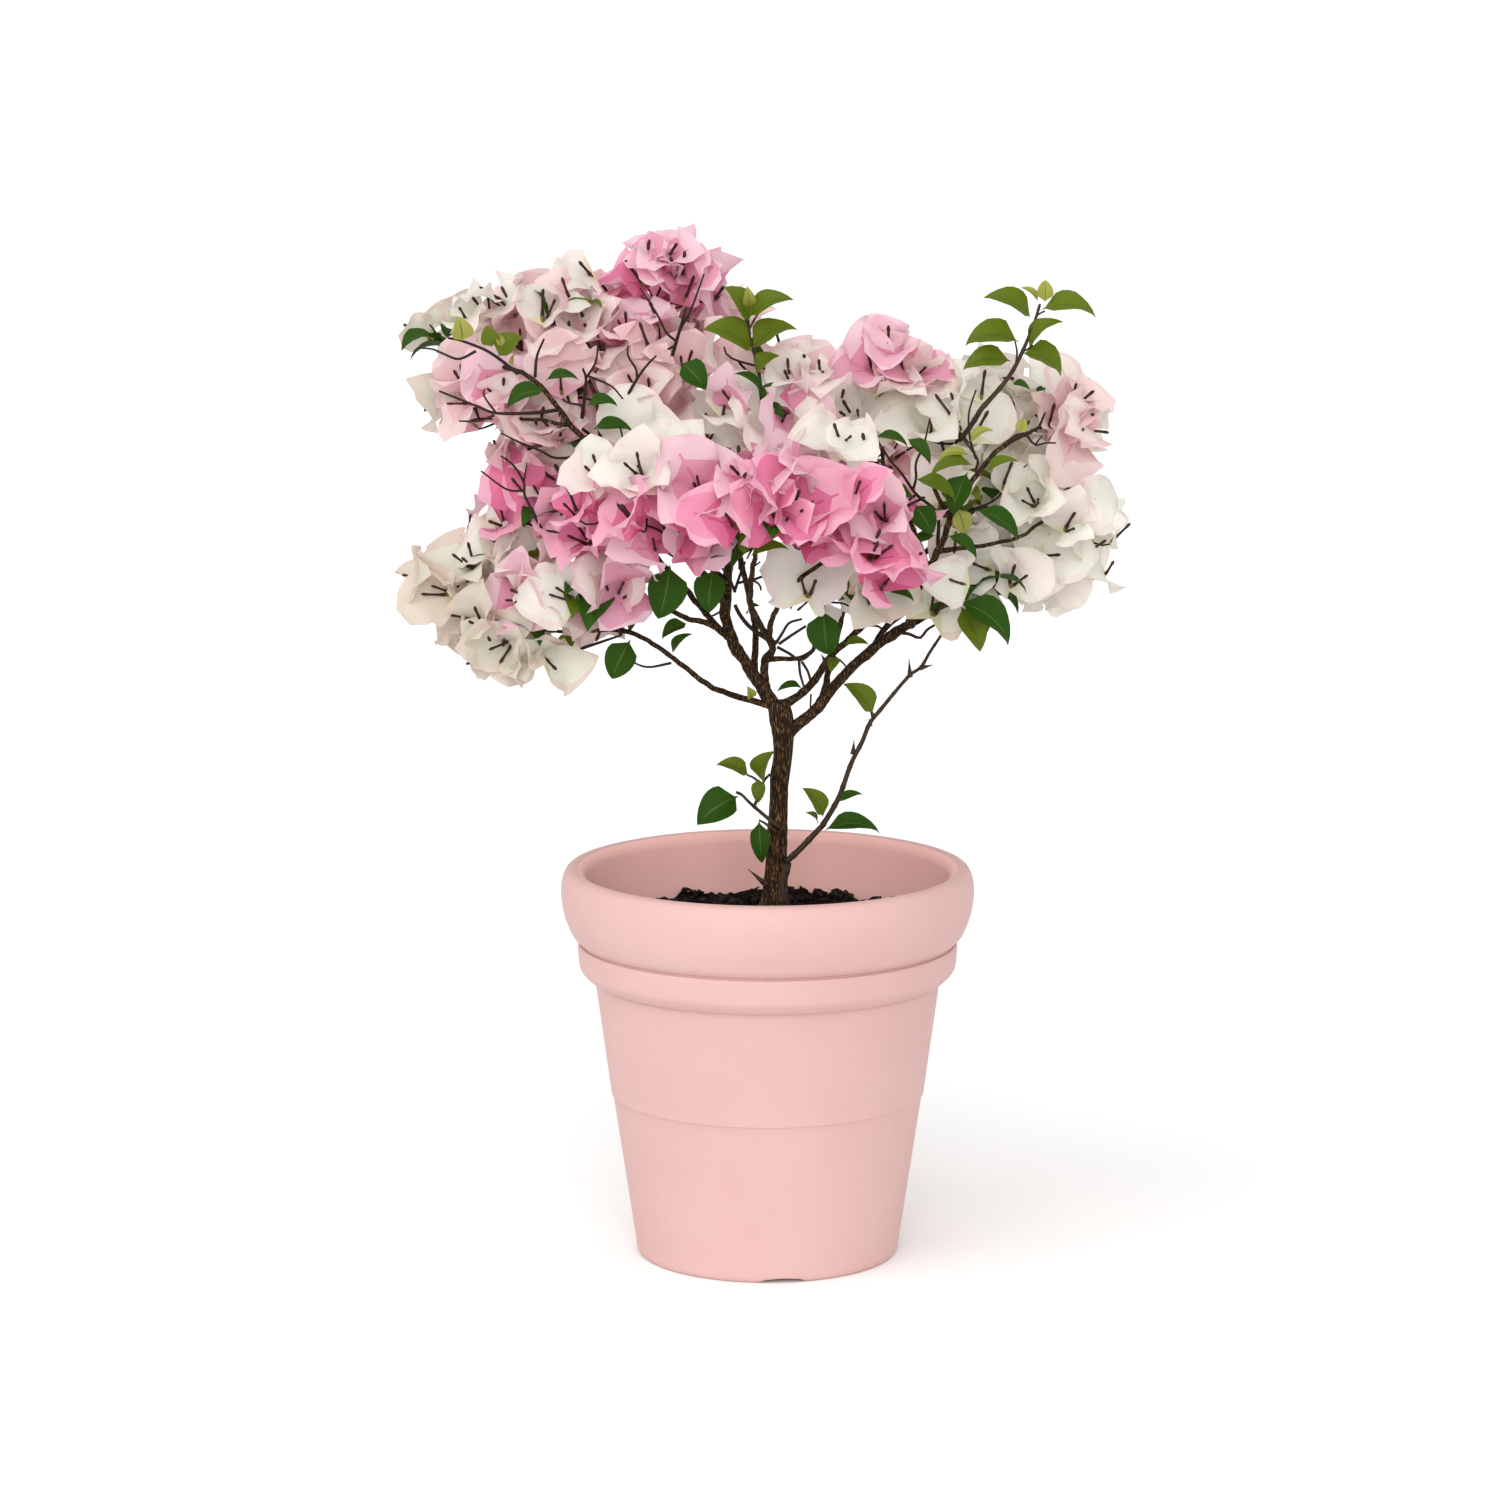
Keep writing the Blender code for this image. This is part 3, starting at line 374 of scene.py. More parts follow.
def potProfile():
    top, step, wall, floor = potHigh.z, pot["stepHeight"], pot["wall"], pot["floorTop"]
    insideTop = top - pot["rimDepth"]
    inner = bodyRadius(insideTop) - wall
    profile = [(0.0, floor)]
    profile += [(0.1 * k * (bodyRadius(0.008) - wall - 0.005), floor) for k in range(1, 11)]
    profile += [(bodyRadius(0.010) - wall - 0.0012, 0.0095), (bodyRadius(0.014) - wall, 0.014)]
    profile += [(bodyRadius(z) - wall, z) for z in (0.05, step - 0.002, step + 0.002, 0.15, 0.19)]
    for k in range(9):  # over the inner edge of the rim
        angle = math.radians(90 * k / 8)
        profile.append((pot["crest"] - (pot["crest"] - inner) * math.cos(angle),
                        insideTop + pot["rimDepth"] * math.sin(angle)))
    rim = [(pot["crest"], top)] + [(radius, top - depth) for radius, depth in pot["rim"]]
    profile += rounded(rim + list(pot["tuck"]), 34)[1:] + list(pot["groove"])
    profile += rounded(pot["band"], 26) + list(pot["lowGroove"])
    profile += [(bodyRadius(z), z) for z in (0.1692, 0.1660, 0.150, 0.130, 0.110, step + 0.0025)]
    lip = bodyRadius(step) + 0.0002  # the body's step
    profile += [(lip, step + 0.0008), (lip - 0.0002, step + 0.0001),
                (lip - 0.0009, step - 0.0002), (bodyRadius(step - 0.0012), step - 0.0008)]
    profile += [(bodyRadius(z), z) for z in (0.090, 0.070, 0.050, 0.030, 0.012, pot["footEdge"])]
    for k in range(1, 6):  # rounded foot
        angle = math.radians(90 * k / 5)
        edge = bodyRadius(pot["footEdge"]) - pot["footRadius"]
        profile.append((pot["footRadius"] + edge * math.cos(angle),
                        pot["footEdge"] * (1 - math.sin(angle))))
    inside = pot["footRadius"] - pot["footRing"]
    profile += [(inside, 0.0), (inside - 0.0006, 0.0006), (inside - 0.001, pot["floorBottom"])]
    profile += [(inside * k / 8, pot["floorBottom"]) for k in range(7, 1, -1)]
    profile += [(pot["bossRadius"] + 0.001, pot["floorBottom"]), (pot["bossRadius"], 0.0), (0.0, 0.0)]
    return profile


def makePot():
    def notched(place):
        # four shallow arches in the foot ring
        flat = math.hypot(place.x, place.y)
        if place.z > pot["footEdge"] + 0.0002 or flat < pot["footRadius"] - pot["footRing"] - 0.0007:
            return place
        angle = math.atan2(place.y, place.x) - pot["notchTurn"]
        angle = (angle + math.pi / 4) % (math.pi / 2) - math.pi / 4
        share = abs(angle) * flat / (pot["notchWidth"] / 2)
        if share < 1.0:
            place.z = max(place.z, pot["notchHeight"] * math.sqrt(1 - share ** 2))
        return place

    mesh = lathe("pot_shell", potProfile(), pot["sides"], notched)
    obj = addObject("pot_shell", mesh)
    mesh.materials.append(speckledMaterial("pot_plastic", pot["plastic"]))
    drains = bpy.data.meshes.new("drains")
    bm = bmesh.new()
    for angle in (0, math.pi / 2, math.pi, math.pi * 1.5):
        spot = (pot["drainCircle"] * math.cos(angle), pot["drainCircle"] * math.sin(angle),
                pot["floorTop"] / 2)
        bmesh.ops.create_cone(bm, cap_ends=True, segments=32, radius1=pot["drainRadius"],
                              radius2=pot["drainRadius"], depth=3 * pot["floorTop"],
                              matrix=Matrix.Translation(spot))
    bm.to_mesh(drains)
    bm.free()
    cutter = addObject("drains", drains)
    cut = obj.modifiers.new("drains", "BOOLEAN")
    cut.operation = "DIFFERENCE"
    cut.object = cutter
    bakeDown(obj)
    bpy.data.objects.remove(cutter)
    smooth(obj.data)
    obj.data.set_sharp_from_angle(angle=math.radians(pot["sharp"]))
    # painted light: faces of the inner wall get a lighter copy of the plastic, standing in for light that
    # they lack under the rim and crown
    inside = speckledMaterial("pot_plastic_inside_painted_light", dict(pot["plastic"], **pot["inside"]))
    obj.data.materials.append(inside)
    for face in obj.data.polygons:
        x, y, z = face.center
        inward = -face.normal.x * x - face.normal.y * y
        if inward > pot["paintedLightSlope"] * math.hypot(x, y) and z > pot["floorTop"]:
            face.material_index = 1
    return settle(obj, "pot", "pot")


def bakeDown(obj):
    # applies what modifiers the object has and leaves a plain mesh
    bpy.context.view_layer.update()
    depsgraph = bpy.context.evaluated_depsgraph_get()
    mesh = bpy.data.meshes.new_from_object(obj.evaluated_get(depsgraph), depsgraph=depsgraph)
    obj.modifiers.clear()
    old = obj.data
    obj.data = mesh
    if old.users == 0:
        bpy.data.meshes.remove(old)
    return obj


soil = {
    "top": 0.2070,
    "seat": 0.015,  # flat round the trunk
    "sink": 0.0066,  # how far the soil drops toward the wall
    "sinkFrom": 0.030,
    "sinkOver": 0.055,
    # height, level and scale of each noise
    "noises": ((0.0078, 0.3, 60.0), (0.0030, 1.7, 210.0), (0.0015, 4.1, 520.0)),
    "rings": 70,
    "sides": 200,
    "chips": 1700,
    "chipSize": 0.0030,
    "chipStretches": ((1.6, 1.0, 0.7), (1.0, 0.9, 0.8), (2.6, 0.6, 0.5)),
    "chipTilt": 0.5,
    "bigChips": (0.06, 1.9),  # share of them, and how much bigger they are
    "earth": {"colour": "#140C09", "light": "#20140F", "dark": "#080403", "scale": 300.0,
              "middle": 0.56, "sharpness": 0.10, "stretch": 1.0, "grainScale": 700.0, "grainStrength": 0.9,
              "grainDepth": 0.0012, "roughness": 0.93, "shine": 0.10},
    "chip": {"colour": "#1A100B", "light": "#3D2B20", "dark": "#0B0604", "scale": 160.0,
             "middle": 0.58, "sharpness": 0.10, "stretch": 1.0, "grainScale": 900.0, "grainStrength": 0.5,
             "grainDepth": 0.0006, "roughness": 0.85, "shine": 0.15},
}


def soilHeight(place):
    # lumps and crumbs, flat where the trunk stands
    flat = math.hypot(place.x, place.y)
    rise = sum(height * noise.noise(Vector((place.x, place.y, level)) * scale)
               for height, level, scale in soil["noises"])
    share = min(1.0, max(0.0, (flat - soil["seat"]) / 0.01))
    outward = min(1.0, max(0.0, (flat - soil["sinkFrom"]) / soil["sinkOver"]))
    return soil["top"] + rise * share - soil["sink"] * outward ** 1.3


def makeSoil():
    low = pot["floorTop"] + gap
    inner = pot["wall"] + gap
    edge = bodyRadius(soil["top"] - 0.006) - inner
    profile = [(0.0, soil["top"])]
    profile += [(edge * (k + 1) / soil["rings"], soil["top"]) for k in range(soil["rings"])]
    profile += [(bodyRadius(0.19) - inner, 0.19), (bodyRadius(0.105) - inner - 0.0004, 0.105),
                (bodyRadius(0.015) - inner, 0.015), (bodyRadius(low) - inner - 0.0045, low), (0.0, low)]

    def lumpy(place):
        if place.z > soil["top"] - 0.0001:
            place.z = soilHeight(place)
        return place

    mesh = lathe("soil_mix", profile, soil["sides"], lumpy)
    mesh.materials.append(speckledMaterial("earth", soil["earth"]))
    settle(addObject("soil_mix", mesh), "soil", "soil")
    rng = random.Random(41)
    spots, tip = [], soil["chipTilt"]
    bigShare, bigger = soil["bigChips"]
    for _ in range(soil["chips"]):
        angle = rng.uniform(0, 2 * math.pi)
        flat = 0.009 + (edge - 0.012) * math.sqrt(rng.random())
        place = Vector((flat * math.cos(angle), flat * math.sin(angle), 0.0))
        place.z = soilHeight(place) + rng.uniform(0.0, 0.0016)
        turn = Euler((rng.uniform(-tip, tip), rng.uniform(-tip, tip), rng.uniform(0, 6.3))).to_matrix()
        size = rng.uniform(0.5, 1.7) * (bigger if rng.random() < bigShare else 1.0)
        spots.append((place, turn @ Vector((0, 1, 0)), turn @ Vector((0, 0, 1)), size,
                      rng.randrange(len(soil["chipStretches"])), 0))
    chips = []
    for k, stretch in enumerate(soil["chipStretches"]):
        bm = bmesh.new()
        bmesh.ops.create_icosphere(bm, subdivisions=1, radius=soil["chipSize"] / 2)
        for vert in bm.verts:
            vert.co *= 1.0 + 0.35 * noise.noise(vert.co * 900 + Vector((k, 0, 0)))
            vert.co = Vector(c * s for c, s in zip(vert.co, stretch))
        chip = bpy.data.meshes.new(f"chip_{k}")
        bm.to_mesh(chip)
        bm.free()
        chips.append(chip)
    piece = scatter("soil_chips", spots, chips, [speckledMaterial("chip", soil["chip"])] * 3)
    settle(piece, "soil")


# a shape dealt out over points: each point brings its turn, size, kind and shade

def scatterGroup():
    group = bpy.data.node_groups.new("scatter", "GeometryNodeTree")
    paints = ("First", "Second", "Third", "Vein", "Edge", "Flame")
    addSockets(group, "INPUT", "Geometry", "Geometry")
    addSockets(group, "INPUT", "Collection", "Shapes")
    addSockets(group, "INPUT", "Material", *paints)
    addSockets(group, "OUTPUT", "Geometry", "Geometry")
    labels = {"kind": "INT", "turn": "QUATERNION", "size": "FLOAT", "shade": "INT", "part": "INT"}
    made = addNodes(group, enter=("NodeGroupInput", {}), leave=("NodeGroupOutput", {}),
                    shapes=("GeometryNodeCollectionInfo",
                            {"Separate Children": True, "Reset Children": True}),
                    deal=("GeometryNodeInstanceOnPoints", {"Pick Instance": True}),
                    real=("GeometryNodeRealizeInstances", {}),
                    **{label: ("GeometryNodeInputNamedAttribute", {"data_type": kind, "Name": label})
                       for label, kind in labels.items()})
    wire(group, made, "enter Shapes > shapes Collection", "enter Geometry > deal Points",
         "shapes Instances > deal Instance", "kind Attribute > deal Instance Index",
         "turn Attribute > deal Rotation", "size Attribute > deal Scale",
         "deal Instances > real Geometry")
    before = "real"
    for k, name in enumerate(paints):
        # the first three go by a point's shade, the others by a face's part
        tested, value = ("shade", k) if k < 3 else ("part", k - 2)
        same, finish = "same" + name, "finish" + name
        made.update(addNodes(group, **{
            same: ("FunctionNodeCompare", {"data_type": "INT", "operation": "EQUAL"}),
            finish: ("GeometryNodeSetMaterial", {})}))
        made[same].inputs[3].default_value = value
        wire(group, made, f"{tested} Attribute > {same} 2", f"{before} Geometry > {finish} Geometry",
             f"{same} Result > {finish} Selection", f"enter {name} > {finish} Material")
        before = finish
    wire(group, made, before + " Geometry > leave Geometry")
    return group


def tubeGroup():
    # lines of points to round twigs, as thick as each point says
    group = bpy.data.node_groups.new("twigs", "GeometryNodeTree")
    addSockets(group, "INPUT", "Geometry", "Geometry")
    addSockets(group, "INPUT", "Int", "Sides")[0].default_value = 7
    addSockets(group, "INPUT", "Material", "Bark")
    addSockets(group, "OUTPUT", "Geometry", "Geometry")
    made = addNodes(group, enter=("NodeGroupInput", {}), leave=("NodeGroupOutput", {}),
                    line=("GeometryNodeMeshToCurve", {}),
                    thick=("GeometryNodeInputNamedAttribute", {"data_type": "FLOAT", "Name": "thick"}),
                    ring=("GeometryNodeCurvePrimitiveCircle", {"Radius": 1.0}),
                    tube=("GeometryNodeCurveToMesh", {"Fill Caps": True}),
                    soften=("GeometryNodeSetShadeSmooth", {}),
                    real=("GeometryNodeRealizeInstances", {}),
                    finish=("GeometryNodeSetMaterial", {}))
    wire(group, made, "enter Geometry > line Mesh", "enter Sides > ring Resolution",
         "line Curve > tube Curve", "thick Attribute > tube Scale", "ring Curve > tube Profile Curve",
         "tube Mesh > soften Geometry", "soften Geometry > real Geometry",
         "real Geometry > finish Geometry", "enter Bark > finish Material",
         "finish Geometry > leave Geometry")
    return group


scatterTree, tubeTree = scatterGroup(), tubeGroup()


def runNodes(obj, tree, **values):
    # one Geometry Nodes modifier with its inputs set, baked to a plain mesh
    modifier = obj.modifiers.new(tree.name, "NODES")
    modifier.node_group = tree
    for item in tree.interface.items_tree:
        if item.in_out == "INPUT" and item.name in values:
            modifier[item.identifier] = values[item.name]
    return bakeDown(obj)


def scatter(name, spots, shapes, paints):
    # spots: place, way of the shape's +Y, way of its +Z, size, kind, shade
    mesh = bpy.data.meshes.new(name)
    mesh.from_pydata([spot[0] for spot in spots], [], [])
    for label, kind in (("turn", "QUATERNION"), ("size", "FLOAT"), ("kind", "INT"), ("shade", "INT")):
        mesh.attributes.new(label, kind, "POINT")
    for k, (_, along, up, size, kind, shade) in enumerate(spots):
        side = along.cross(up).normalized()
        turn = Matrix((side, along.normalized(), side.cross(along).normalized())).transposed()
        mesh.attributes["turn"].data[k].value = turn.to_quaternion()
        mesh.attributes["size"].data[k].value = size
        mesh.attributes["kind"].data[k].value = kind
        mesh.attributes["shade"].data[k].value = shade
    store = bpy.data.collections.new(name + "_shapes")
    for k, shape in enumerate(shapes):
        store.objects.link(bpy.data.objects.new(f"{name}_shape_{k:02d}", shape))
    obj = addObject(name, mesh)
    runNodes(obj, scatterTree, Shapes=store, First=paints[0], Second=paints[1], Third=paints[2],
             Vein=paints[3 % len(paints)], Edge=paints[4 % len(paints)], Flame=paints[-1])
    for item in list(store.objects):
        bpy.data.objects.remove(item)
    bpy.data.collections.remove(store)
    clearAttributes(obj)
    print(f"{name}: {len(spots)} of {len(shapes)} shapes, {len(obj.data.polygons)} faces")
    return obj


def clearAttributes(obj):
    for label in ("turn", "size", "kind", "shade", "part", "thick"):
        if label in obj.data.attributes:
            obj.data.attributes.remove(obj.data.attributes[label])


def growTubes(name, lines, finish, sides):
    # lines: places with the radius at each
    verts, edges, thick = [], [], []
    for places, radii in lines:
        first = len(verts)
        verts += places
        thick += radii
        edges += [(first + k, first + k + 1) for k in range(len(places) - 1)]
    mesh = bpy.data.meshes.new(name)
    mesh.from_pydata(verts, edges, [])
    mesh.attributes.new("thick", "FLOAT", "POINT").data.foreach_set("value", thick)
    obj = runNodes(addObject(name, mesh), tubeTree, Sides=sides, Bark=finish)
    clearAttributes(obj)
    print(f"{name}: {len(lines)} tubes, {len(obj.data.polygons)} faces")
    return obj


makePot()
makeSoil()
print("pot and soil done")


# the tree's plan: trunk, limbs and the room of each blossom mass

trunk = {
    "way": ((0.0042, 0.0, trunkLow.z), (0.0050, 0.0, 0.2210), (0.0064, 0.0, 0.2794),
            (0.0093, 0.0, 0.3094), (0.0084, 0.0, 0.3270), (0.0064, 0.0, trunkHigh.z - 0.0004)),
    "radius": (0.0088, 0.0062, 0.0050, 0.0052, 0.0060, 0.0050),
    "swell": 0.0004,  # of the bark past the plan's radius
    "footSwell": 0.0020,
    "lobes": 5,
    "lobeDepth": 0.0014,
    "flareTop": 0.0420,  # above the soil
    "step": 0.0011,
    "sides": 44,
}

# middle, radius, clusters, share with a leaf, colour
masses = {
    "top_left_outer": ((-0.182, 0.012, 0.549), 0.04, 10, 0.3, "cream"),
    "top_left": ((-0.124, 0.0, 0.569), 0.04, 11, 0.2, "blush"),
    "top": ((-0.062, 0.02, 0.583), 0.041, 12, 0.1, "pink"),
    "upper_mid": ((-0.07, -0.03, 0.538), 0.04, 10, 0.1, "blush"),
    "upper_left": ((-0.122, -0.032, 0.517), 0.042, 11, 0.2, "blush"),
    "left_edge": ((-0.162, -0.018, 0.512), 0.036, 8, 0.1, "blush"),
    "left_mid": ((-0.132, -0.024, 0.461), 0.038, 11, 0.1, "pink"),
    "left_low_outer": ((-0.184, 0.0, 0.414), 0.041, 11, 0.1, "cream"),
    "left_low": ((-0.148, -0.026, 0.388), 0.04, 11, 0.2, "cream"),
    "low_centre_left": ((-0.098, -0.05, 0.424), 0.04, 9, 1.0, "blush"),
    "front_left": ((-0.076, -0.106, 0.474), 0.042, 11, 0.1, "rose"),
    "front_mid": ((-0.006, -0.116, 0.465), 0.043, 11, 0.3, "rose"),
    "front_right": ((0.06, -0.104, 0.46), 0.042, 11, 0.1, "rose"),
    "centre_top": ((-0.004, -0.054, 0.52), 0.044, 11, 0.1, "blush"),
    "low_centre_right": ((0.036, -0.05, 0.42), 0.038, 8, 0.8, "white"),
    "top_centre_right": ((0.064, 0.004, 0.53), 0.043, 11, 0.1, "blush"),
    "right_top": ((0.118, -0.014, 0.508), 0.042, 11, 0.2, "white"),
    "right_top_outer": ((0.17, 0.006, 0.508), 0.041, 10, 0.1, "white"),
    "right_mid": ((0.176, -0.008, 0.456), 0.04, 11, 0.1, "white"),
    "right_low": ((0.166, 0.012, 0.424), 0.038, 10, 0.2, "white"),
    "right_low_inner": ((0.114, -0.034, 0.413), 0.037, 8, 0.8, "white"),
    "right_centre": ((0.116, -0.026, 0.46), 0.036, 8, 0.6, "white"),
    "back_left": ((-0.12, 0.076, 0.476), 0.046, 12, 0.3, "blush"),
    "back_centre": ((-0.036, 0.116, 0.468), 0.047, 12, 0.3, "pink"),
    "back_right": ((0.06, 0.106, 0.462), 0.047, 12, 0.3, "blush"),
    "back_right_side": ((0.132, 0.07, 0.452), 0.044, 12, 0.3, "white"),
    "back_top": ((-0.026, 0.074, 0.54), 0.044, 12, 0.2, "blush"),
}

# parent, height on it where the limb leaves, places it passes, radius at root and tip
limbs = {
    "right": ("trunk", 0.318,
        ((0.0291, 0.0, 0.3351), (0.0453, 0.0, 0.3552), (0.0686, -0.006, 0.3768)), 0.0037, 0.0026),
    "centre_top": ("trunk", 0.329,
        ((-0.0076, 0.0, 0.3552), (-0.0228, 0.0, 0.3814), (-0.024, -0.01, 0.418)), 0.0041, 0.0022),
    "left_low": ("trunk", 0.335,
        ((-0.013, -0.001, 0.3418), (-0.0328, -0.01, 0.3502), (-0.0777, -0.03, 0.3848)), 0.0022, 0.0012),
    "right_centre": ("trunk", 0.336,
        ((0.0231, -0.001, 0.3473), (0.0392, -0.002, 0.3686), (0.056, -0.006, 0.3858)), 0.0028, 0.0015),
    "front_mid": ("centre_top", 0.344,
        ((-0.0016, -0.003, 0.3631), (0.002, -0.008, 0.3753), (-0.01, -0.04, 0.405)), 0.0026, 0.0014),
    "low_centre_left": ("centre_top", 0.377,
        ((-0.0363, -0.01, 0.389), (-0.052, -0.02, 0.395)), 0.0022, 0.0013),
    "front_right": ("front_mid", 0.38, ((0.004, -0.038, 0.4), (0.016, -0.07, 0.422)), 0.0019, 0.0012),
    "low_centre_right": ("front_mid", 0.366,
        ((0.018, -0.004, 0.3667), (0.029, -0.012, 0.376)), 0.0016, 0.0011),
    "front_left": ("centre_top", 0.396, ((-0.036, -0.04, 0.422),), 0.0022, 0.0013),
    "left_low_outer": ("left_low", 0.386, ((-0.115, 0.006, 0.406),), 0.0014, 0.001),
    "top_left_outer": ("centre_top", 0.412,
        ((-0.062, -0.034, 0.458), (-0.1017, -0.07, 0.5), (-0.1363, -0.066, 0.54)), 0.0022, 0.0013),
    "left_mid": ("centre_top", 0.403, ((-0.064, 0.004, 0.436),), 0.0017, 0.0011),
    "upper_left": ("top_left_outer", 0.47, ((-0.083, -0.03, 0.488),), 0.0013, 0.001),
    "left_edge": ("top_left_outer", 0.515, ((-0.14, -0.066, 0.518),), 0.0012, 0.0009),
    "top_left": ("top_left_outer", 0.495, ((-0.101, -0.058, 0.53),), 0.0013, 0.001),
    "top": ("centre_top", 0.43, ((-0.04, 0.01, 0.47), (-0.052, 0.02, 0.51)), 0.0018, 0.0011),
    "upper_mid": ("top", 0.47, ((-0.054, 0.004, 0.496),), 0.0013, 0.001),
    "right_top_outer": ("right", None,
        ((0.089, -0.04, 0.413), (0.098, -0.064, 0.436), (0.114, -0.078, 0.477), (0.14, -0.058, 0.503)),
        0.0026, 0.0013),
    "right_top": ("right_top_outer", 0.46, ((0.096, -0.066, 0.482),), 0.0014, 0.001),
    "top_centre_right": ("right_top_outer", 0.427,
        ((0.084, -0.04, 0.456), (0.07, -0.02, 0.48)), 0.0017, 0.0011),
    "right_mid": ("right_top_outer", 0.44, ((0.142, -0.06, 0.446),), 0.0015, 0.001),
    "right_low_inner": ("right", 0.383, ((0.096, -0.012, 0.393),), 0.0013, 0.001),
    "right_low": ("right", 0.38, ((0.105, 0.014, 0.396),), 0.0015, 0.001),
    "back_left": ("centre_top", 0.37, ((-0.046, 0.024, 0.4), (-0.078, 0.044, 0.434)), 0.0022, 0.0014),
    "back_centre": ("centre_top", 0.356, ((-0.008, 0.03, 0.382), (-0.018, 0.066, 0.42)), 0.0023, 0.0014),
    "back_right": ("right", 0.34, ((0.04, 0.03, 0.366), (0.052, 0.064, 0.41)), 0.0022, 0.0013),
    "back_right_side": ("right", 0.37, ((0.086, 0.03, 0.404),), 0.0018, 0.0012),
    "back_top": ("back_centre", 0.412, ((-0.024, 0.054, 0.46),), 0.0016, 0.0011),
}

crown = {
    "middle": Vector((0.0, 0.0, 0.440)),
    "rightTip": (0.0860, -0.0200, 0.3905),
    "limbStep": 0.020,  # the plan's own step along a limb
    "enter": 0.80,  # share of a mass's radius at which its limb ends
    "knee": 0.006,  # how far a limb's stem goes straight on into its mass
    "heart": 0.15,  # share of the radius by which that stem stops short of the middle
    "reach": 0.009,  # how far bract tips go past a mass's radius
    "spacing": 0.0125,  # least distance between two clusters
    # how far bracts may pass a mass's reach: on clusters given with a lean, on other front ones, at
    # the back and elsewhere
    "slack": {"shown": -0.001, "near": -0.006, "back": -0.004, "plain": -0.008},
    "frontShell": 0.62,  # share of a mass's radius at which its front clusters stand
    "nearBias": 0.22,  # how much a mass near the camera is preferred for a front cluster
    "facing": Vector((0, -0.42, 0.72)),  # where a front cluster turns that brings no lean
    "apart": 0.35,  # how much clusters turn away from the crown's middle
    "clearSide": 0.032,  # no other cluster stands this near before a front one
    "clearDepth": 0.012,
    "shell": (0.25, 0.66),  # shares of the radius between which the other clusters stand
    "inmost": -0.55,  # cosine past which none stands, towards the crown's middle
    "tries": 140,
    "markReach": 4.0,  # pixels round a mark that nearer bracts leave in sight
    "tubeReach": 33.0,  # pixels that a flower tube takes when it lies across the view
}


def atHeight(points, height):
    # the place on a limb where it passes a height; None is its tip
    if height is not None:
        for a, b in zip(points, points[1:]):
            if (a.z - height) * (b.z - height) <= 0 and a.z != b.z:
                return a.lerp(b, (height - a.z) / (b.z - a.z))
    return points[-1]


def spaceEdge(name, toward):
    # where a limb that comes from a place enters the room of its mass
    middle, radius = Vector(masses[name][0]), masses[name][1]
    return middle + (Vector(toward) - middle).normalized() * radius * crown["enter"]


def planLimbs():
    # for each limb its coarse line, the places of its curve and its radii at root and tip
    plans = {"trunk": (smoothWay(trunk["way"], 12), trunk["way"], 0, 0)}
    for name, (parent, height, ways, root, tip) in limbs.items():
        line = plans[parent][0]
        start = atHeight(line, height)
        end = Vector(crown["rightTip"]) if name == "right" else spaceEdge(name, ways[-1])
        if height is None:
            start = start - (line[-1] - line[-2]).normalized() * 0.002
        places = (tuple(start),) + ways + (tuple(end),)
        steps = round(wayLength([Vector(place) for place in places]) / crown["limbStep"])
        plans[name] = (smoothWay(places, max(4, steps + 1)), places, root, tip)
    return plans


def massStem(name, plans):
    # the knee and the end of the stem that goes on from a limb's tip into its mass
    points = plans[name][0]
    middle, radius = Vector(masses[name][0]), masses[name][1]
    ahead = (points[-1] - points[-2]).normalized()
    return points[-1] + ahead * crown["knee"], middle - ahead * radius * crown["heart"]


# bark: one mesh of tapering tubes with collars, fissures and leaf scars

bark = {
    "step": 0.0013,
    "sides": 16,
    "collarReach": 0.0045,
    "collarSwell": 0.38,
    "forkReach": 0.0055,
    "forkSwell": 0.14,
    "scarStep": 0.011,
    "scarSwell": 0.10,
    "stemTip": 0.0007,
    "wander": 0.0009,  # how far a limb strays from its smooth line
    "seed": 11,  # of the kinks; unseeded they would differ from run to run
    "kinks": (75, 190),
    "taper": 0.6,
    "scarReach": 0.0011,
    "stemFade": 0.03,  # length over which a limb thins to its stem inside the mass
    "rough": 0.11,
    "trunkForkReach": 0.007,
    # height of each noise of the trunk's bark, its scales across and along the trunk, and its offset
    "seam": (0.00055, 260, 42, 0),
    "ridge": (0.00075, 520, 95, 7),
    "knot": (0.00045, 90, 55, 3),
    "finish": {"colour": "#331F12", "light": "#8D6F47", "dark": "#22140A", "scale": 1350.0,
               "middle": 0.60, "sharpness": 0.10, "stretch": 0.15, "grainScale": 900.0,
               "grainStrength": 0.85, "grainDepth": 0.0010, "roughness": 0.82, "shine": 0.15},
    "twig": {"colour": "#2A1811", "roughness": 0.7, "shine": 0.3},
    "twigSides": 7,
    "twigStep": 0.0025,
    "twigRadii": (0.00080, 0.00026),  # of a small twig at its root, and what it loses to its tip
}


def ringFrames(points):
    # two axes across the way at every point, carried along without a twist
    frames, side = [], None
    for k, place in enumerate(points):
        way = (points[min(k + 1, len(points) - 1)] - points[max(k - 1, 0)]).normalized()
        side = way.orthogonal() if side is None else side - way * side.dot(way)
        side = side.normalized()
        frames.append((place, side, way.cross(side)))
    return frames


def addTube(store, points, radiusAt, sides):
    # rings round the way, closed at both ends; radiusAt takes a run, an angle and a place
    verts, faces = store
    first, run, probe = len(verts), 0.0, 0.004  # where the bark's noise is read, off the way
    verts.append(points[0])
    for k, (place, side, up) in enumerate(ringFrames(points)):
        run += (place - points[k - 1]).length if k else 0.0
        for turn in range(sides):
            angle = 2 * math.pi * turn / sides
            out = side * math.cos(angle) + up * math.sin(angle)
            verts.append(place + out * radiusAt(run, angle, place + out * probe))
    verts.append(points[-1])
    faces += tubeFaces(first, len(points), sides)


def meshOf(name, store, finish):
    mesh = meshFrom(name, *store)
    mesh.materials.append(finish)
    return addObject(name, mesh)


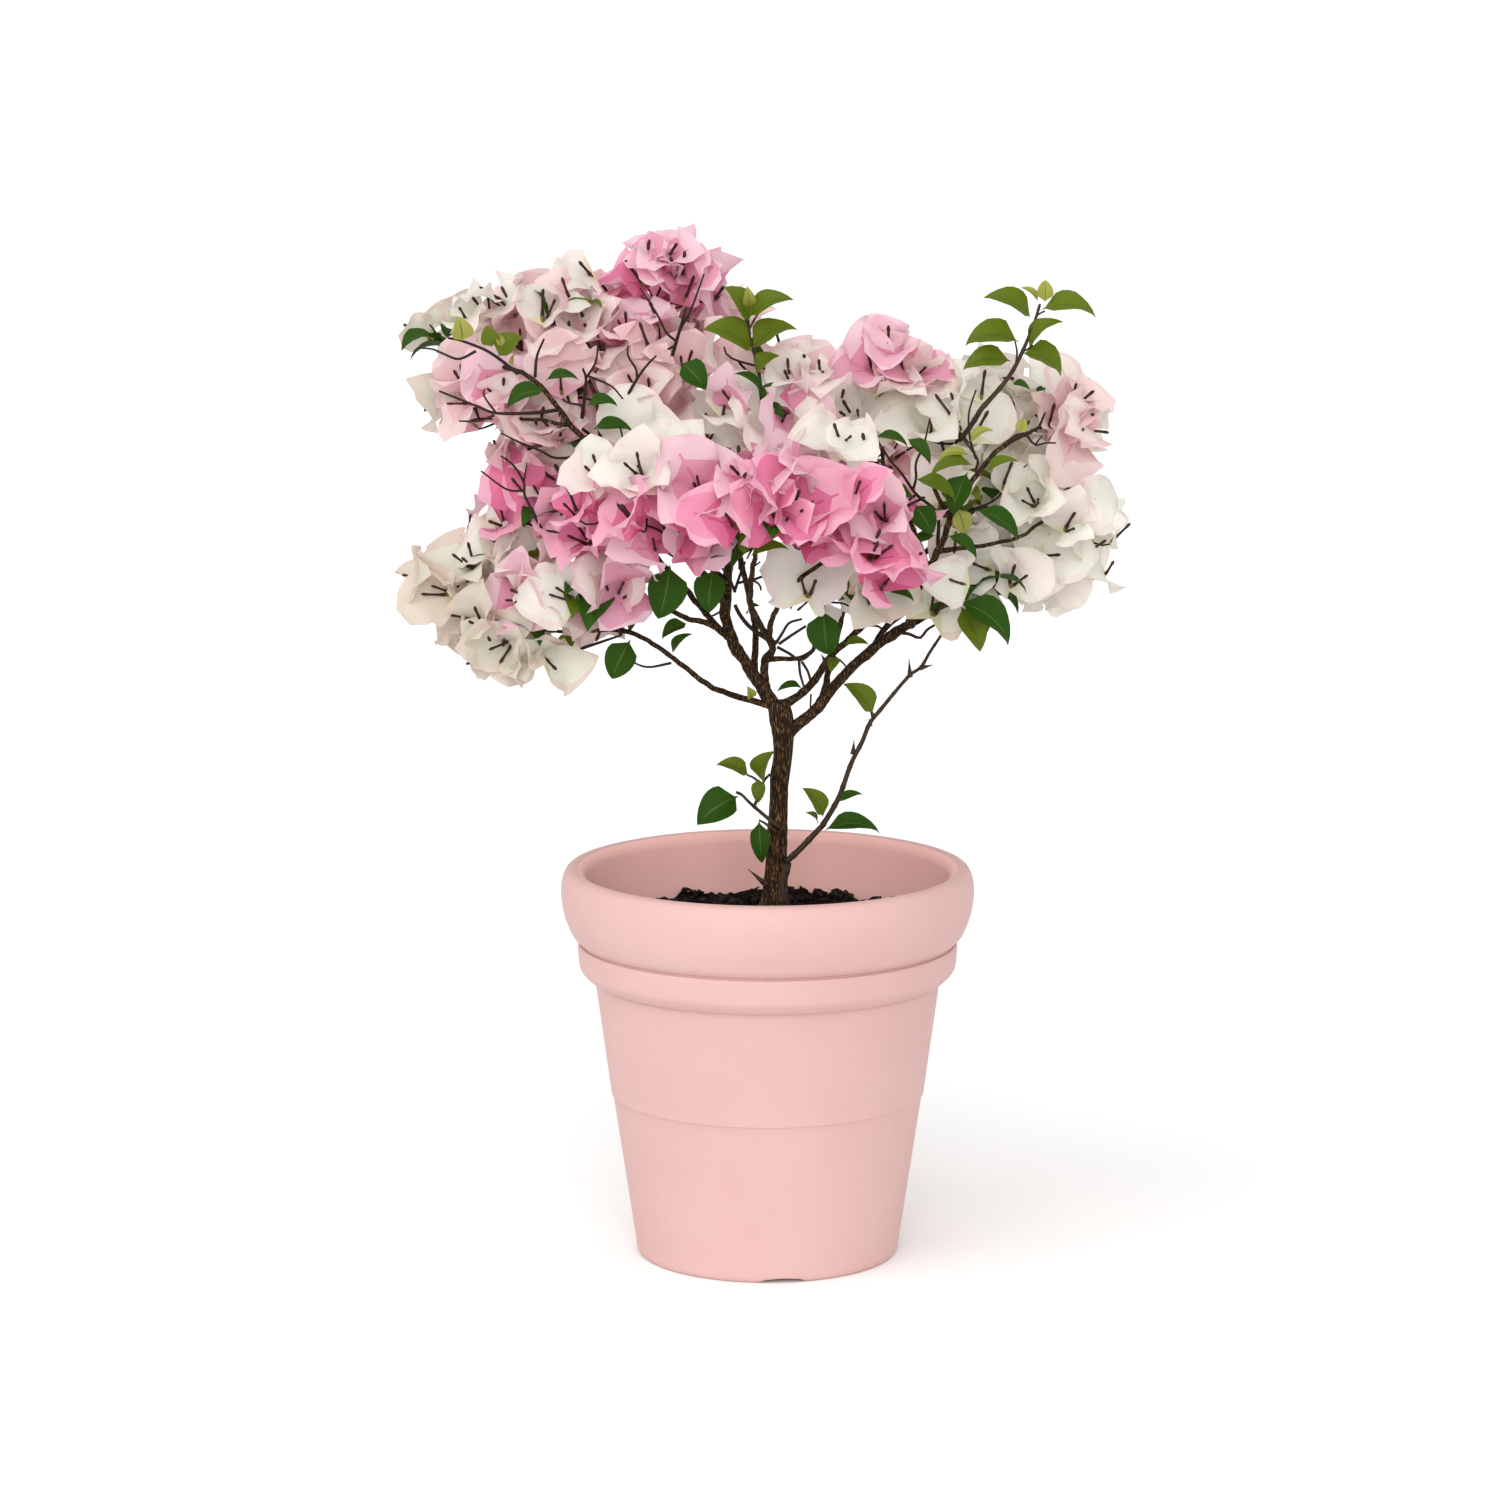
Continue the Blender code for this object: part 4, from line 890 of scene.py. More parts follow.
def wandering(place, start):
    # small kinks in a limb's line, none where it leaves its parent
    coarse, fine = bark["kinks"]
    stray = noise.noise_vector(place * coarse) + 0.5 * noise.noise_vector(place * fine)
    return place + stray * bark["wander"] * min(1.0, start)


def forkRuns(name, points, plans):
    # how far along a limb its own side limbs leave it
    runs = []
    for other, (parent, height, *_) in limbs.items():
        if parent == name and height is not None:
            root, run, best = plans[other][0][0], 0.0, (1.0, 0.0)
            for a, b in zip(points, points[1:]):
                best = min(best, ((a - root).length, run))
                run += (b - a).length
            runs.append(best[1])
    return runs


def makeBark(plans):
    noise.seed_set(bark["seed"])
    store = ([], [])
    points = smoothWay(trunk["way"], round(wayLength(plans["trunk"][0]) / trunk["step"]))
    forks = forkRuns("trunk", points, plans)
    heights = [p[2] for p in trunk["way"]]

    def barkNoise(kind, place):
        height, across, along, offset = bark[kind]
        value = noise.noise(Vector((place.x * across, place.y * across, place.z * along + offset)))
        return height * (0.5 - abs(value) if kind == "ridge" else value)

    def trunkRadius(run, angle, place):
        radius = between(place.z, heights, trunk["radius"])
        share = max(0.0, 1.0 - (place.z - trunkLow.z) / trunk["flareTop"])
        radius += trunk["lobeDepth"] * share ** 2 * math.cos(trunk["lobes"] * angle + 0.6)
        radius *= 1 + sum(0.5 * bark["forkSwell"] * math.exp(-((run - at) / bark["trunkForkReach"]) ** 2)
                          for at in forks)
        radius += trunk["swell"] + trunk["footSwell"] * share ** 1.5
        return radius + sum(barkNoise(kind, place) for kind in ("seam", "ridge", "knot"))

    addTube(store, points, trunkRadius, trunk["sides"])
    for name in limbs:
        _, places, root, tip = plans[name]
        length = wayLength(plans[name][0])
        limb = smoothWay(places, max(6, round(length / bark["step"])))
        forks = forkRuns(name, limb, plans)
        if name in masses:
            limb += smoothWay((limb[-1], *massStem(name, plans)), 26)[1:]
        limb = [limb[0]] + [wandering(place, k / 8) for k, place in enumerate(limb)][1:]

        def limbRadius(run, angle, place):
            share = min(1.0, run / length)
            radius = root + (tip - root) * share ** bark["taper"]
            if run > length:
                radius = tip + (bark["stemTip"] - tip) * min(1.0, (run - length) / bark["stemFade"])
            radius *= 1 + bark["collarSwell"] * math.exp(-run / bark["collarReach"])
            radius *= 1 + sum(bark["forkSwell"] * math.exp(-((run - at) / bark["forkReach"]) ** 2)
                              for at in forks)
            scar = math.exp(-((run % bark["scarStep"] - 0.5 * bark["scarStep"]) / bark["scarReach"]) ** 2)
            radius *= 1 + bark["scarSwell"] * scar * (0.6 + 0.4 * math.cos(angle + run * 300))
            drawn = Vector((place.x, place.y, place.z * 0.4))  # longer along the limb
            rough = noise.noise(place * 340) + 0.6 * noise.noise(drawn * 900)
            return radius * (1 + bark["rough"] * rough)

        addTube(store, limb, limbRadius, bark["sides"])
    piece = meshOf("bark", store, speckledMaterial("bark_skin", bark["finish"]))
    print("bark:", len(piece.data.polygons), "faces")
    return settle(piece, "bark", "trunk", *("bough_" + name for name in limbs))


plans = planLimbs()
makeBark(plans)


# what shows in front: places as the camera sees them, in pixels of its view, with a depth (Y)

# depth at root and tip, radius at root and tip, places
frontTwigs = (
    (-0.068, -0.074, 0.0009, 0.0005, ((474, 349), (457, 357), (442, 352), (430, 347), (415, 346))),
    (-0.068, -0.074, 0.0011, 0.0007,
     ((516, 372), (500, 359), (487, 350), (474, 344), (457, 338), (446, 336))),
    (-0.07, -0.082, 0.001, 0.0006, ((533, 375), (535, 354), (542, 337))),
    (-0.068, -0.076, 0.0012, 0.0006,
     ((556, 408), (529, 411), (494, 411), (477, 405), (457, 397), (437, 389))),
    (-0.071, -0.076, 0.0007, 0.0005, ((494, 411), (482, 394), (483, 387))),
    (-0.071, -0.076, 0.0008, 0.0005, ((492, 413), (477, 419), (457, 419))),
    (-0.064, -0.084, 0.0012, 0.0007, ((580, 416), (584, 379), (581, 367))),
    (-0.075, -0.082, 0.0008, 0.0005, ((585, 375), (594, 359), (596, 339))),
    (-0.075, -0.084, 0.0008, 0.0005, ((586, 374), (609, 384), (621, 397))),
    (-0.062, -0.086, 0.0013, 0.0006, ((606, 432), (621, 402), (635, 377), (646, 362), (654, 354))),
    (-0.074, -0.082, 0.0008, 0.0005, ((635, 377), (634, 367), (626, 354), (626, 344))),
    (-0.06, -0.078, 0.0011, 0.0006,
     ((545, 540), (537, 522), (523, 494), (522, 481), (512, 464), (499, 454))),
    (-0.069, -0.076, 0.0007, 0.0005, ((521, 489), (504, 487), (479, 469))),
    (-0.07, -0.076, 0.0006, 0.0004, ((522, 479), (525, 461))),
    (-0.066, -0.084, 0.001, 0.0005, ((584, 454), (554, 456), (539, 449), (519, 441), (499, 431))),
    (-0.06, -0.09, 0.0012, 0.0006,
     ((936, 543), (935, 512), (914, 492), (900, 472), (888, 458), (874, 436))),
    (-0.074, -0.088, 0.0009, 0.0005, ((911, 488), (914, 476), (914, 461), (922, 442), (928, 416))),
    (-0.078, -0.088, 0.0009, 0.0005, ((974, 467), (975, 456), (958, 433))),
    (-0.08, -0.088, 0.0008, 0.0005, ((974, 457), (968, 436), (967, 411), (974, 388))),
    (-0.06, -0.074, 0.0012, 0.0006, ((1010, 439), (1026, 431), (1036, 426), (1040, 418), (1043, 411))),
    (-0.068, -0.074, 0.0008, 0.0005, ((1024, 432), (1033, 443), (1043, 441), (1054, 441))),
    (-0.07, -0.074, 0.0006, 0.0004, ((1033, 443), (1040, 434))),
    (-0.01, -0.012, 0.0014, 0.0012, ((775, 641), (765, 637), (748, 625), (738, 613), (733, 603))),
    (-0.01, -0.014, 0.001, 0.0007, ((774, 641), (781, 630), (787, 621), (800, 617))),
    (-0.01, -0.012, 0.001, 0.0008, ((777, 642), (790, 633), (804, 624))),
    (-0.01, -0.014, 0.001, 0.0007,
     ((775, 645), (788, 652), (797, 658), (805, 655), (811, 646), (812, 638))),
    (-0.012, -0.006, 0.0009, 0.0007, ((797, 658), (798, 671), (802, 685))),
    (-0.012, -0.004, 0.0009, 0.0008, ((800, 660), (806, 670), (809, 681))),
    (-0.006, -0.006, 0.0006, 0.0005, ((809, 692), (808, 712))),
    (-0.01, -0.012, 0.0007, 0.0005, ((833, 655), (840, 660), (846, 667))),
    (-0.006, -0.012, 0.0009, 0.0007, ((880, 643), (879, 633), (884, 628), (891, 621), (901, 614))),
    (-0.006, -0.012, 0.0009, 0.0006, ((862, 624), (875, 624), (884, 630))),
    (-0.02, -0.026, 0.0011, 0.0007, ((897, 631), (907, 632), (918, 636), (926, 627), (943, 618))),
    (-0.014, -0.018, 0.0008, 0.0005, ((726, 603), (716, 611), (704, 615), (698, 606))),
    (-0.016, -0.024, 0.001, 0.0007, ((733, 590), (727, 575), (720, 566))),
    (-0.016, -0.026, 0.001, 0.0007, ((733, 588), (738, 573), (743, 560))),
    (-0.018, -0.03, 0.0009, 0.0006, ((737, 581), (748, 578), (757, 582), (759, 588))),
    (-0.018, -0.03, 0.0009, 0.0006, ((745, 580), (765, 573), (786, 567))),
    (-0.018, -0.03, 0.0008, 0.0005, ((747, 578), (751, 566), (758, 560))),
    (-0.03, -0.04, 0.0011, 0.0006, ((578, 647), (602, 639), (620, 633))),
    (-0.021, -0.034, 0.0009, 0.0005, ((669, 661), (645, 665), (626, 658))),
    (-0.06, -0.092, 0.0012, 0.0006, ((670, 354), (680, 320), (684, 305))),
    (-0.07, -0.088, 0.0008, 0.0005, ((675, 340), (664, 330), (655, 312), (638, 286))),
    (-0.071, -0.088, 0.0008, 0.0005, ((677, 330), (690, 305), (702, 272))),
)

# depth, share of width, shade, place of the root and of the tip
frontLeaves = (
    (-0.082, 0.52, 0, (544, 389), (505, 407)), (-0.082, 0.46, 0, (543, 379), (577, 379)),
    (-0.084, 0.5, 0, (584, 404), (616, 405)), (-0.084, 0.34, 0, (590, 428), (631, 431)),
    (-0.088, 0.6, 0, (678, 360), (704, 388)), (-0.08, 0.76, 1, (496, 356), (520, 334)),
    (-0.08, 0.76, 1, (490, 346), (484, 324)), (-0.078, 0.76, 2, (460, 340), (455, 314)),
    (-0.082, 0.45, 2, (512, 366), (520, 350)), (-0.082, 0.5, 2, (500, 346), (494, 332)),
    (-0.092, 0.42, 0, (914, 498), (866, 497)), (-0.092, 0.42, 1, (912, 478), (953, 500)),
    (-0.094, 0.45, 1, (972, 464), (928, 475)), (-0.09, 0.4, 2, (968, 454), (936, 458)),
    (-0.092, 0.4, 1, (984, 472), (1017, 460)), (-0.092, 0.5, 2, (968, 441), (992, 429)),
    (-0.088, 0.6, 2, (1018, 432), (1023, 416)), (-0.08, 0.4, 0, (972, 508), (1015, 541)),
    (-0.092, 0.4, 0, (872, 436), (906, 447)), (-0.09, 0.4, 0, (905, 437), (928, 463)),
    (-0.084, 0.52, 0, (966, 470), (951, 513)), (-0.08, 0.6, 2, (955, 505), (962, 531)),
    (-0.084, 0.4, 0, (944, 534), (974, 558)), (-0.084, 0.6, 0, (912, 502), (930, 532)),
    (-0.08, 0.55, 0, (934, 534), (912, 545)), (-0.072, 0.62, 0, (668, 562), (656, 617)),
    (-0.074, 0.66, 0, (712, 566), (707, 611)), (-0.11, 0.55, 0, (735, 552), (699, 560)),
    (-0.112, 0.4, 1, (742, 553), (741, 527)), (-0.112, 0.4, 0, (738, 551), (718, 531)),
    (-0.112, 0.4, 0, (746, 551), (766, 534)), (-0.104, 0.4, 1, (748, 555), (787, 548)),
    (-0.036, 0.5, 0, (645, 612), (606, 628)), (-0.036, 0.66, 0, (629, 637), (610, 677)),
    (-0.036, 0.76, 1, (574, 634), (561, 654)), (-0.024, 0.5, 0, (686, 622), (660, 637)),
    (-0.021, 0.45, 0, (671, 653), (691, 632)), (-0.008, 0.3, 0, (801, 687), (775, 690)),
    (-0.002, 0.6, 2, (748, 697), (745, 684)), (-0.09, 0.5, 0, (757, 548), (718, 548)),
    (-0.09, 0.45, 0, (730, 572), (752, 548)), (-0.05, 0.66, 0, (822, 606), (828, 653)),
    (-0.012, 0.36, 1, (842, 643), (867, 643)), (-0.012, 0.6, 1, (836, 656), (829, 671)),
    (-0.014, 0.5, 0, (746, 613), (758, 604)), (-0.056, 0.55, 0, (955, 600), (1006, 644)),
    (-0.05, 0.5, 1, (958, 604), (978, 650)), (-0.052, 0.5, 0, (870, 606), (906, 612)),
    (-0.06, 0.45, 0, (884, 590), (912, 600)), (-0.006, 0.6, 0, (737, 794), (695, 823)),
    (-0.008, 0.52, 1, (747, 775), (714, 763)), (-0.008, 0.6, 1, (761, 780), (773, 749)),
    (-0.01, 0.55, 1, (757, 776), (756, 801)), (-0.012, 0.4, 0, (757, 818), (760, 861)),
    (-0.01, 0.56, 1, (821, 816), (800, 786)), (-0.01, 0.55, 1, (815, 823), (803, 811)),
    (-0.01, 0.45, 0, (836, 801), (861, 793)), (-0.012, 0.42, 0, (822, 829), (878, 832)),
    (-0.008, 0.52, 1, (871, 713), (841, 682)), (-0.07, 0.52, 1, (1029, 318), (981, 296)),
    (-0.07, 0.64, 1, (1018, 341), (963, 344)), (-0.07, 0.52, 1, (1010, 360), (961, 368)),
    (-0.07, 0.52, 1, (1038, 309), (1094, 316)), (-0.07, 0.52, 1, (1027, 348), (1062, 320)),
    (-0.07, 0.76, 1, (1018, 352), (1059, 375)), (-0.07, 0.4, 2, (1036, 300), (1018, 286)),
    (-0.07, 0.6, 2, (1043, 301), (1043, 278)), (-0.07, 0.4, 0, (1010, 382), (1028, 388)),
    (-0.084, 0.64, 1, (746, 322), (721, 285)), (-0.084, 0.52, 1, (748, 316), (792, 298)),
    (-0.084, 0.64, 1, (750, 352), (700, 328)), (-0.084, 0.64, 1, (749, 350), (796, 328)),
    (-0.084, 0.64, 1, (754, 372), (778, 354)), (-0.084, 0.55, 2, (747, 306), (745, 284)),
    (-0.09, 0.34, 0, (759, 392), (732, 372)), (-0.09, 0.34, 0, (760, 398), (772, 380)),
    (-0.088, 0.5, 0, (762, 404), (782, 418)),
)

# for each tint its clusters' feet; a foot may bring how far its flower tubes lean across and down,
# in pixels, and how much deeper in its mass it stands
frontClusters = (
    ("rose", (
        (638, 528, -22, -20), (697, 530, -9, -26), (733, 500), (760, 525, 4, -30), (790, 515, 13, -16),
        (818, 538, 15, -17), (866, 560, 13, -20), (850, 500), (545, 505), (560, 524, 4, -4), (577, 518),
        (503, 525, -14, -14), (614, 300), (646, 286), (718, 293), (672, 536), (800, 546), (880, 588),
        (590, 543), (735, 528), (905, 560), (530, 500), (830, 515), (614, 548, -8, -6, 0.02),
        (776, 532, 2, -12),
    )),
    ("pink", (
        (657, 325, -4, -24), (681, 302, 6, -27), (663, 258, 1, -14), (735, 408, -20, -6),
        (772, 402, 22, 8), (872, 372, -8, -18), (912, 375, 8, -14), (762, 468, 3, -16),
        (700, 492, -4, -12), (800, 472, 8, -16), (508, 462), (468, 420, -6, 14), (500, 400, -10, -18),
        (634, 584, -8, 8), (528, 597, -20, 0), (888, 350, 2, -16), (884, 520, -6, -10, 0.03), (697, 274),
        (712, 300, 16, -4), (642, 272), (625, 340), (680, 280), (745, 480), (780, 480), (655, 550),
        (684, 558),
    )),
    ("blush", (
        (462, 388, -8, -20), (470, 400, -24, -6), (592, 335, -4, -16), (566, 345), (700, 350, 20, 2),
        (650, 350), (605, 365), (520, 350), (536, 440, -3, -24), (560, 395), (640, 395), (780, 350),
        (820, 378, 4, -14), (905, 386, -2, -20), (1068, 408, 10, -20), (1054, 388), (1084, 412, 16, 0),
        (682, 378), (722, 345), (800, 348), (834, 352), (530, 470), (570, 300), (515, 315), (500, 425),
        (560, 440), (1045, 435), (1070, 430, 10, 8), (612, 600), (618, 424), (665, 420), (650, 402),
        (632, 416, 0, -14), (806, 364, 2, -14), (648, 480, -8, -18, 0.028),
    )),
    ("white", (
        (592, 275, -4, -14), (541, 322, 0, -26), (487, 316, -8, -22), (505, 300),
        (600, 478, -10, -14, 0.016), (640, 475, -7, -14, 0.016), (676, 462, -2, -20, 0.022),
        (706, 440, 2, -16, 0.03), (751, 440, -5, -22, 0.034), (640, 440, -6, -12, 0.034),
        (811, 395, -8, -14), (856, 422, -12, -16), (895, 430, -8, -20), (957, 422, -18, -26),
        (928, 436, -4, -22), (940, 392), (980, 400), (1012, 400), (1052, 498, 8, -22),
        (1073, 517, 28, -15), (1062, 530, 6, -8), (1103, 574, 14, -14), (1108, 542),
        (1035, 505, -12, -12), (1000, 490), (1035, 555, 14, -5), (1007, 587, 14, -14), (1045, 592),
        (991, 568, -16, -10), (1080, 475), (1040, 465), (806, 597, -4, -16), (548, 598, -12, -18),
        (524, 572, -6, -18), (508, 548), (575, 600), (840, 440, 2, -14, 0.02), (1085, 552), (970, 440),
        (1010, 440), (1020, 530), (790, 385), (720, 415), (775, 430), (800, 420), (875, 395), (835, 410),
        (868, 454, 0, -16, 0.02), (966, 583, -14, -2), (437, 336, -10, -12), (454, 354, -24, -2),
        (464, 318, -6, -16),
    )),
    ("cream", (
        (418, 576, -24, -4), (451, 592, -24, -2), (473, 568, -16, -18), (482, 627, -14, -12), (420, 605),
        (512, 637, -16, 12), (538, 647, -22, 4), (540, 655, 6, 14), (568, 486, -18, -12),
        (860, 592, 18, -2), (930, 615), (500, 655), (470, 545), (430, 560), (520, 620),
    )),
)
# round places beside the crown that stay open: middle and radius in pixels
skyGaps = (
    (420, 377, 16), (477, 449, 16), (470, 484, 20), (440, 514, 18), (416, 530, 14), (392, 556, 10),
    (438, 305, 12), (476, 277, 9), (533, 262, 11), (563, 252, 9), (772, 316, 8), (843, 330, 11),
    (943, 348, 12), (1093, 376, 9), (1118, 434, 13), (1120, 460, 17), (1104, 466, 13), (1133, 530, 8),
    (478, 674, 9),
)

twigLines, leafSpots, flowerSpots = [], [], []


leaf = {
    "widths": (0.40, 0.52, 0.64, 0.76),
    "length": (0.022, 0.034),  # of those dealt out inside the crown
    "darkShare": 0.75,
    "broad": 0.6,  # dark leaves from this width on face the camera, the others look up
    "blade": {"columns": (-1.0, -0.55, -0.05, 0.05, 0.55, 1.0), "rows": 8, "stalk": 0.10, "throat": 0,
              "vein": 0.86, "flame": 0, "edge": False, "twist": 0.1, "crease": 0.004,
              "bend": math.radians(42), "recurve": 0.3, "belly": 0.56, "point": 1.10, "fold": 0.24,
              "cup": 0.14, "ruffle": 0.05, "waves": 1.6},
    "dark": {"colour": "#224509", "glow": "#527814", "roughness": 0.58, "shine": 0.14, "thin": 0.18},
    "mid": {"colour": "#50620E", "glow": "#86981E", "roughness": 0.55, "shine": 0.2, "thin": 0.24},
    "young": {"colour": "#8F8F3C", "glow": "#B9BC5A", "roughness": 0.5, "shine": 0.4, "thin": 0.3},
    "rib": {"colour": "#3B5612", "glow": "#7D9230", "roughness": 0.5, "shine": 0.3, "thin": 0.15},
}
leastHalf = 0.026  # of a blade's length, so that it doesn't close beside its stalk or tip


def shaken(rng, most):
    return Vector([rng.uniform(-most, most) for _ in range(3)])


def leafBetween(root, tip, width, shade, rng):
    # a leaf from its root to its tip; its own mesh is one unit long, in one of the set widths
    along = tip - root
    towardCamera = (Vector(camera["place"]) - root).normalized()
    lift = 0.4 if width >= leaf["broad"] and not shade else 1.3
    up = towardCamera + Vector((0, 0, lift)) + shaken(rng, 0.25)
    kind = min(range(len(leaf["widths"])), key=lambda k: abs(leaf["widths"][k] - width))
    leafSpots.append((root, along, up, along.length, kind, shade))


def blade(name, look):
    # a unit blade along +Y whose upper face is +Z; its parts are 1 throat, 2 edge, 3 flame, and on bracts
    # the throat's and flame's colours are partly painted shade
    columns, rows, stalk = look["columns"], look["rows"], look["stalk"]
    rng = random.Random(look["seed"])
    phases = [rng.uniform(0, 6.3) for _ in range(4)]
    verts, faces, part = [], [], []
    heights = [0.0] + [(k + 0.5 * (k > 0)) / (rows + 0.5) for k in range(1, rows)] + [1.0]
    if stalk:
        heights = [0.0, stalk] + [stalk + (1 - stalk) * v for v in heights[1:]]
    y = z = before = 0.0
    for v in heights:
        heading = look["bend"] * (1 - 2 * v) - look["recurve"] * max(0.0, v - 0.75) * 4
        y += (v - before) * math.cos(heading)
        z += (v - before) * math.sin(heading)
        before = v
        share = max(0.0, (v - stalk) / (1 - stalk))
        rise, fall = look["belly"], look["point"]
        widest = (rise / (rise + fall)) ** rise * (fall / (rise + fall)) ** fall
        half = look["width"] / 2 * share ** rise * (1 - share) ** fall / widest
        half = max(half, leastHalf) if 0 < v < 1 else 0.0
        if half == 0.0:
            verts.append((0.0, y, z))
            continue
        for u in columns:
            side = 0 if u < 0 else 1
            swing = math.pi * look["waves"] * v
            wave = math.sin(2 * swing + phases[side]) + 0.5 * math.sin(4.4 * swing + phases[2 + side])
            lift = look["fold"] * abs(u) + look["cup"] * u * u + look["ruffle"] * wave * u * u
            roll = look["twist"] * (v - 0.4) * u
            crease = look["crease"] * math.sin(16.0 * v + 2.2 * u + phases[0]) * share
            verts.append((half * u * (1 - 0.12 * look["cup"]), y, z + half * (lift + roll) + crease))
    long, lean = math.hypot(y, z), math.atan2(z, y)
    turn = Matrix.Rotation(-lean, 3, "X") * (1 / long)
    verts = [turn @ Vector(place) for place in verts]
    wide = len(columns)
    for k in range(wide - 1):
        inner, outer = (k + 1, k) if k < wide // 2 - 1 else (k, k + 1)
        central = k == wide // 2 - 1
        step = abs(k - wide // 2 + 1)
        faces.append((0, 2 + k, 1 + k))
        part.append(1 if look["throat"] or central else 0)
        for row in range(1, len(heights) - 2):
            low = 1 + (row - 1) * wide
            lower, upper = (low + k, low + k + 1), (low + wide + k + 1, low + wide + k)
            rest = 2 if k in (0, wide - 2) and look["edge"] else 0
            # rows near the base take the throat's and flame's deeper colours, on the pink tints partly
            # painted shade
            limits = [(look["throat"] - step, 1), (look["flame"] - step, 3)]
            below = next((kind for limit, kind in limits if row < limit), rest)
            if central and heights[row + 1] < look["vein"]:
                below = 1
            above = next((kind for limit, kind in limits if row < limit - 1), rest)
            if central or below == above or step == 0:
                faces.append((*lower, *upper))
                part.append(below)
                continue
            # the border of two colours slants over this cell
            nearLow, nearHigh = low + inner, low + wide + inner
            farLow, farHigh = low + outer, low + wide + outer
            under, over = (farLow, nearLow, nearHigh), (farLow, nearHigh, farHigh)
            flip = inner < outer
            faces.append(tuple(reversed(under)) if flip else under)
            faces.append(tuple(reversed(over)) if flip else over)
            part.extend((below, above))
        low = 1 + (len(heights) - 3) * wide + k
        faces.append((low, low + 1, len(verts) - 1))
        part.append(2 if look["edge"] else 0)
    return meshFrom(name, verts, faces, part)


bract = {
    "kinds": 7,
    "columns": (-1.0, -0.72, -0.38, -0.045, 0.045, 0.38, 0.72, 1.0),
    "rows": 9,
    "stalk": 0.0,
    "length": 0.0378,
    "shrink": 0.92,  # in steps until a bract's tip stays inside the crown
    "least": 0.027,  # a bract that would come out shorter is left out
    "width": 0.94,
    # what differs from kind to kind: shares of the length or of the width, and degrees
    "ranges": {"twist": (-0.3, 0.3), "width": (0.90, 1.10), "bend": (12, 34), "recurve": (-8, 40),
               "belly": (0.52, 0.66), "point": (0.74, 1.04), "fold": (-0.02, 0.08), "cup": (0.04, 0.34),
               "crease": (0.010, 0.022), "ruffle": (0.16, 0.32), "waves": (1.2, 2.2)},
    # rows that a bract's throat and the flame past it reach, and the share that its vein does; on the deep
    # tints these rows' darker pinks are partly the bract's own colour and partly painted shade where the
    # three bracts meet
    "pale": {"throat": 2, "vein": 0.30, "flame": 2},
    "deep": {"throat": 3, "vein": 0.50, "flame": 6},
    "edge": True,
    "spread": (42, 68),  # degrees that a bract opens from the middle of its cluster
    "tones": (0.5, 0.33, 0.17),  # how often a cluster takes each of its tint's plain colours
    "ownTone": 0.7,  # how often a bract keeps its cluster's
    "tubes": 0.85,  # how often a bract bears a flower tube
    "skin": {"roughness": 0.62, "shine": 0.2, "sheen": 0.1, "thin": 0.42},
}

# three plain colours, then those of the throat, the edge and the flame, for each tint; the deeper pinks of
# the throat and flame are partly the bract's own colour and partly painted shade at the middle of a
# cluster, while the white and cream throats keep their own greenish colour
tints = {
    "white": ("#F5F5EB", "#F0F0E5", "#F2E9E3", "#EBE7C9", "#F3EAE2", "#EFECDC"),
    "cream": ("#E5E3D4", "#DED9CA", "#DFD1C4", "#D8D2AC", "#E2D3C7", "#DCD5BE"),
    "blush": ("#F3E7E1", "#EFD9D5", "#EAC9C9", "#E5ADB9", "#F0D7D7", "#EAC6C8"),
    "pink": ("#F3D0DA", "#EEBDCC", "#E8A8BE", "#DC84A4", "#F2CED9", "#E7A0B9"),
    "rose": ("#F2B4C9", "#EC9DB9", "#E484A8", "#D45C8A", "#F2B8CC", "#E07CA2"),
}
bractSpots = {tint: [] for tint in tints}

flower = {
    "length": 0.0195,
    "sides": 6,
    # radius and height as shares of the length
    "profile": ((0.030, 0.0), (0.054, 0.06), (0.062, 0.22), (0.042, 0.42), (0.040, 0.72),
                (0.056, 0.90), (0.032, 0.99)),
    "tube": {"colour": "#3A1F18", "roughness": 0.6, "shine": 0.3},
    "foot": {"colour": "#7A7034", "roughness": 0.6, "shine": 0.3},
}


def bractShapes(depth):
    shapes = []
    for kind in range(bract["kinds"]):
        rng = random.Random(300 + kind)
        drawn = {label: rng.uniform(*limits) for label, limits in bract["ranges"].items()}
        drawn["width"] *= bract["width"]
        for label in ("bend", "recurve"):
            drawn[label] = math.radians(drawn[label])
        shapes.append(blade(f"bract_{depth}_{kind}", dict(bract, **bract[depth], **drawn, seed=500 + kind)))
    return shapes


def leafShapes():
    return [blade(f"leaf_{k}", dict(leaf["blade"], width=width, seed=40 + k))
            for k, width in enumerate(leaf["widths"])]


def flowerShape():
    sides, rings = flower["sides"], flower["profile"]
    verts, faces, part = [], [], []
    for radius, height in rings:
        for k in range(sides):
            angle = 2 * math.pi * k / sides
            lean = 0.05 * height * height
            verts.append((radius * math.cos(angle) + lean, height, -radius * math.sin(angle)))
    for ring in range(len(rings) - 1):
        for k in range(sides):
            after, low = (k + 1) % sides, ring * sides
            faces.append((low + k, low + after, low + sides + after, low + sides + k))
            part.append(1 if ring < 2 else 0)
    faces += [tuple(reversed(range(sides))), tuple(range(len(verts) - sides, len(verts)))]
    return meshFrom("flower_tube", verts, faces, part + [1, 0])


def insideCrown(place, slack=0.002):
    return any((place - Vector(middle)).length < radius + crown["reach"] + slack
               for middle, radius, *_ in masses.values())


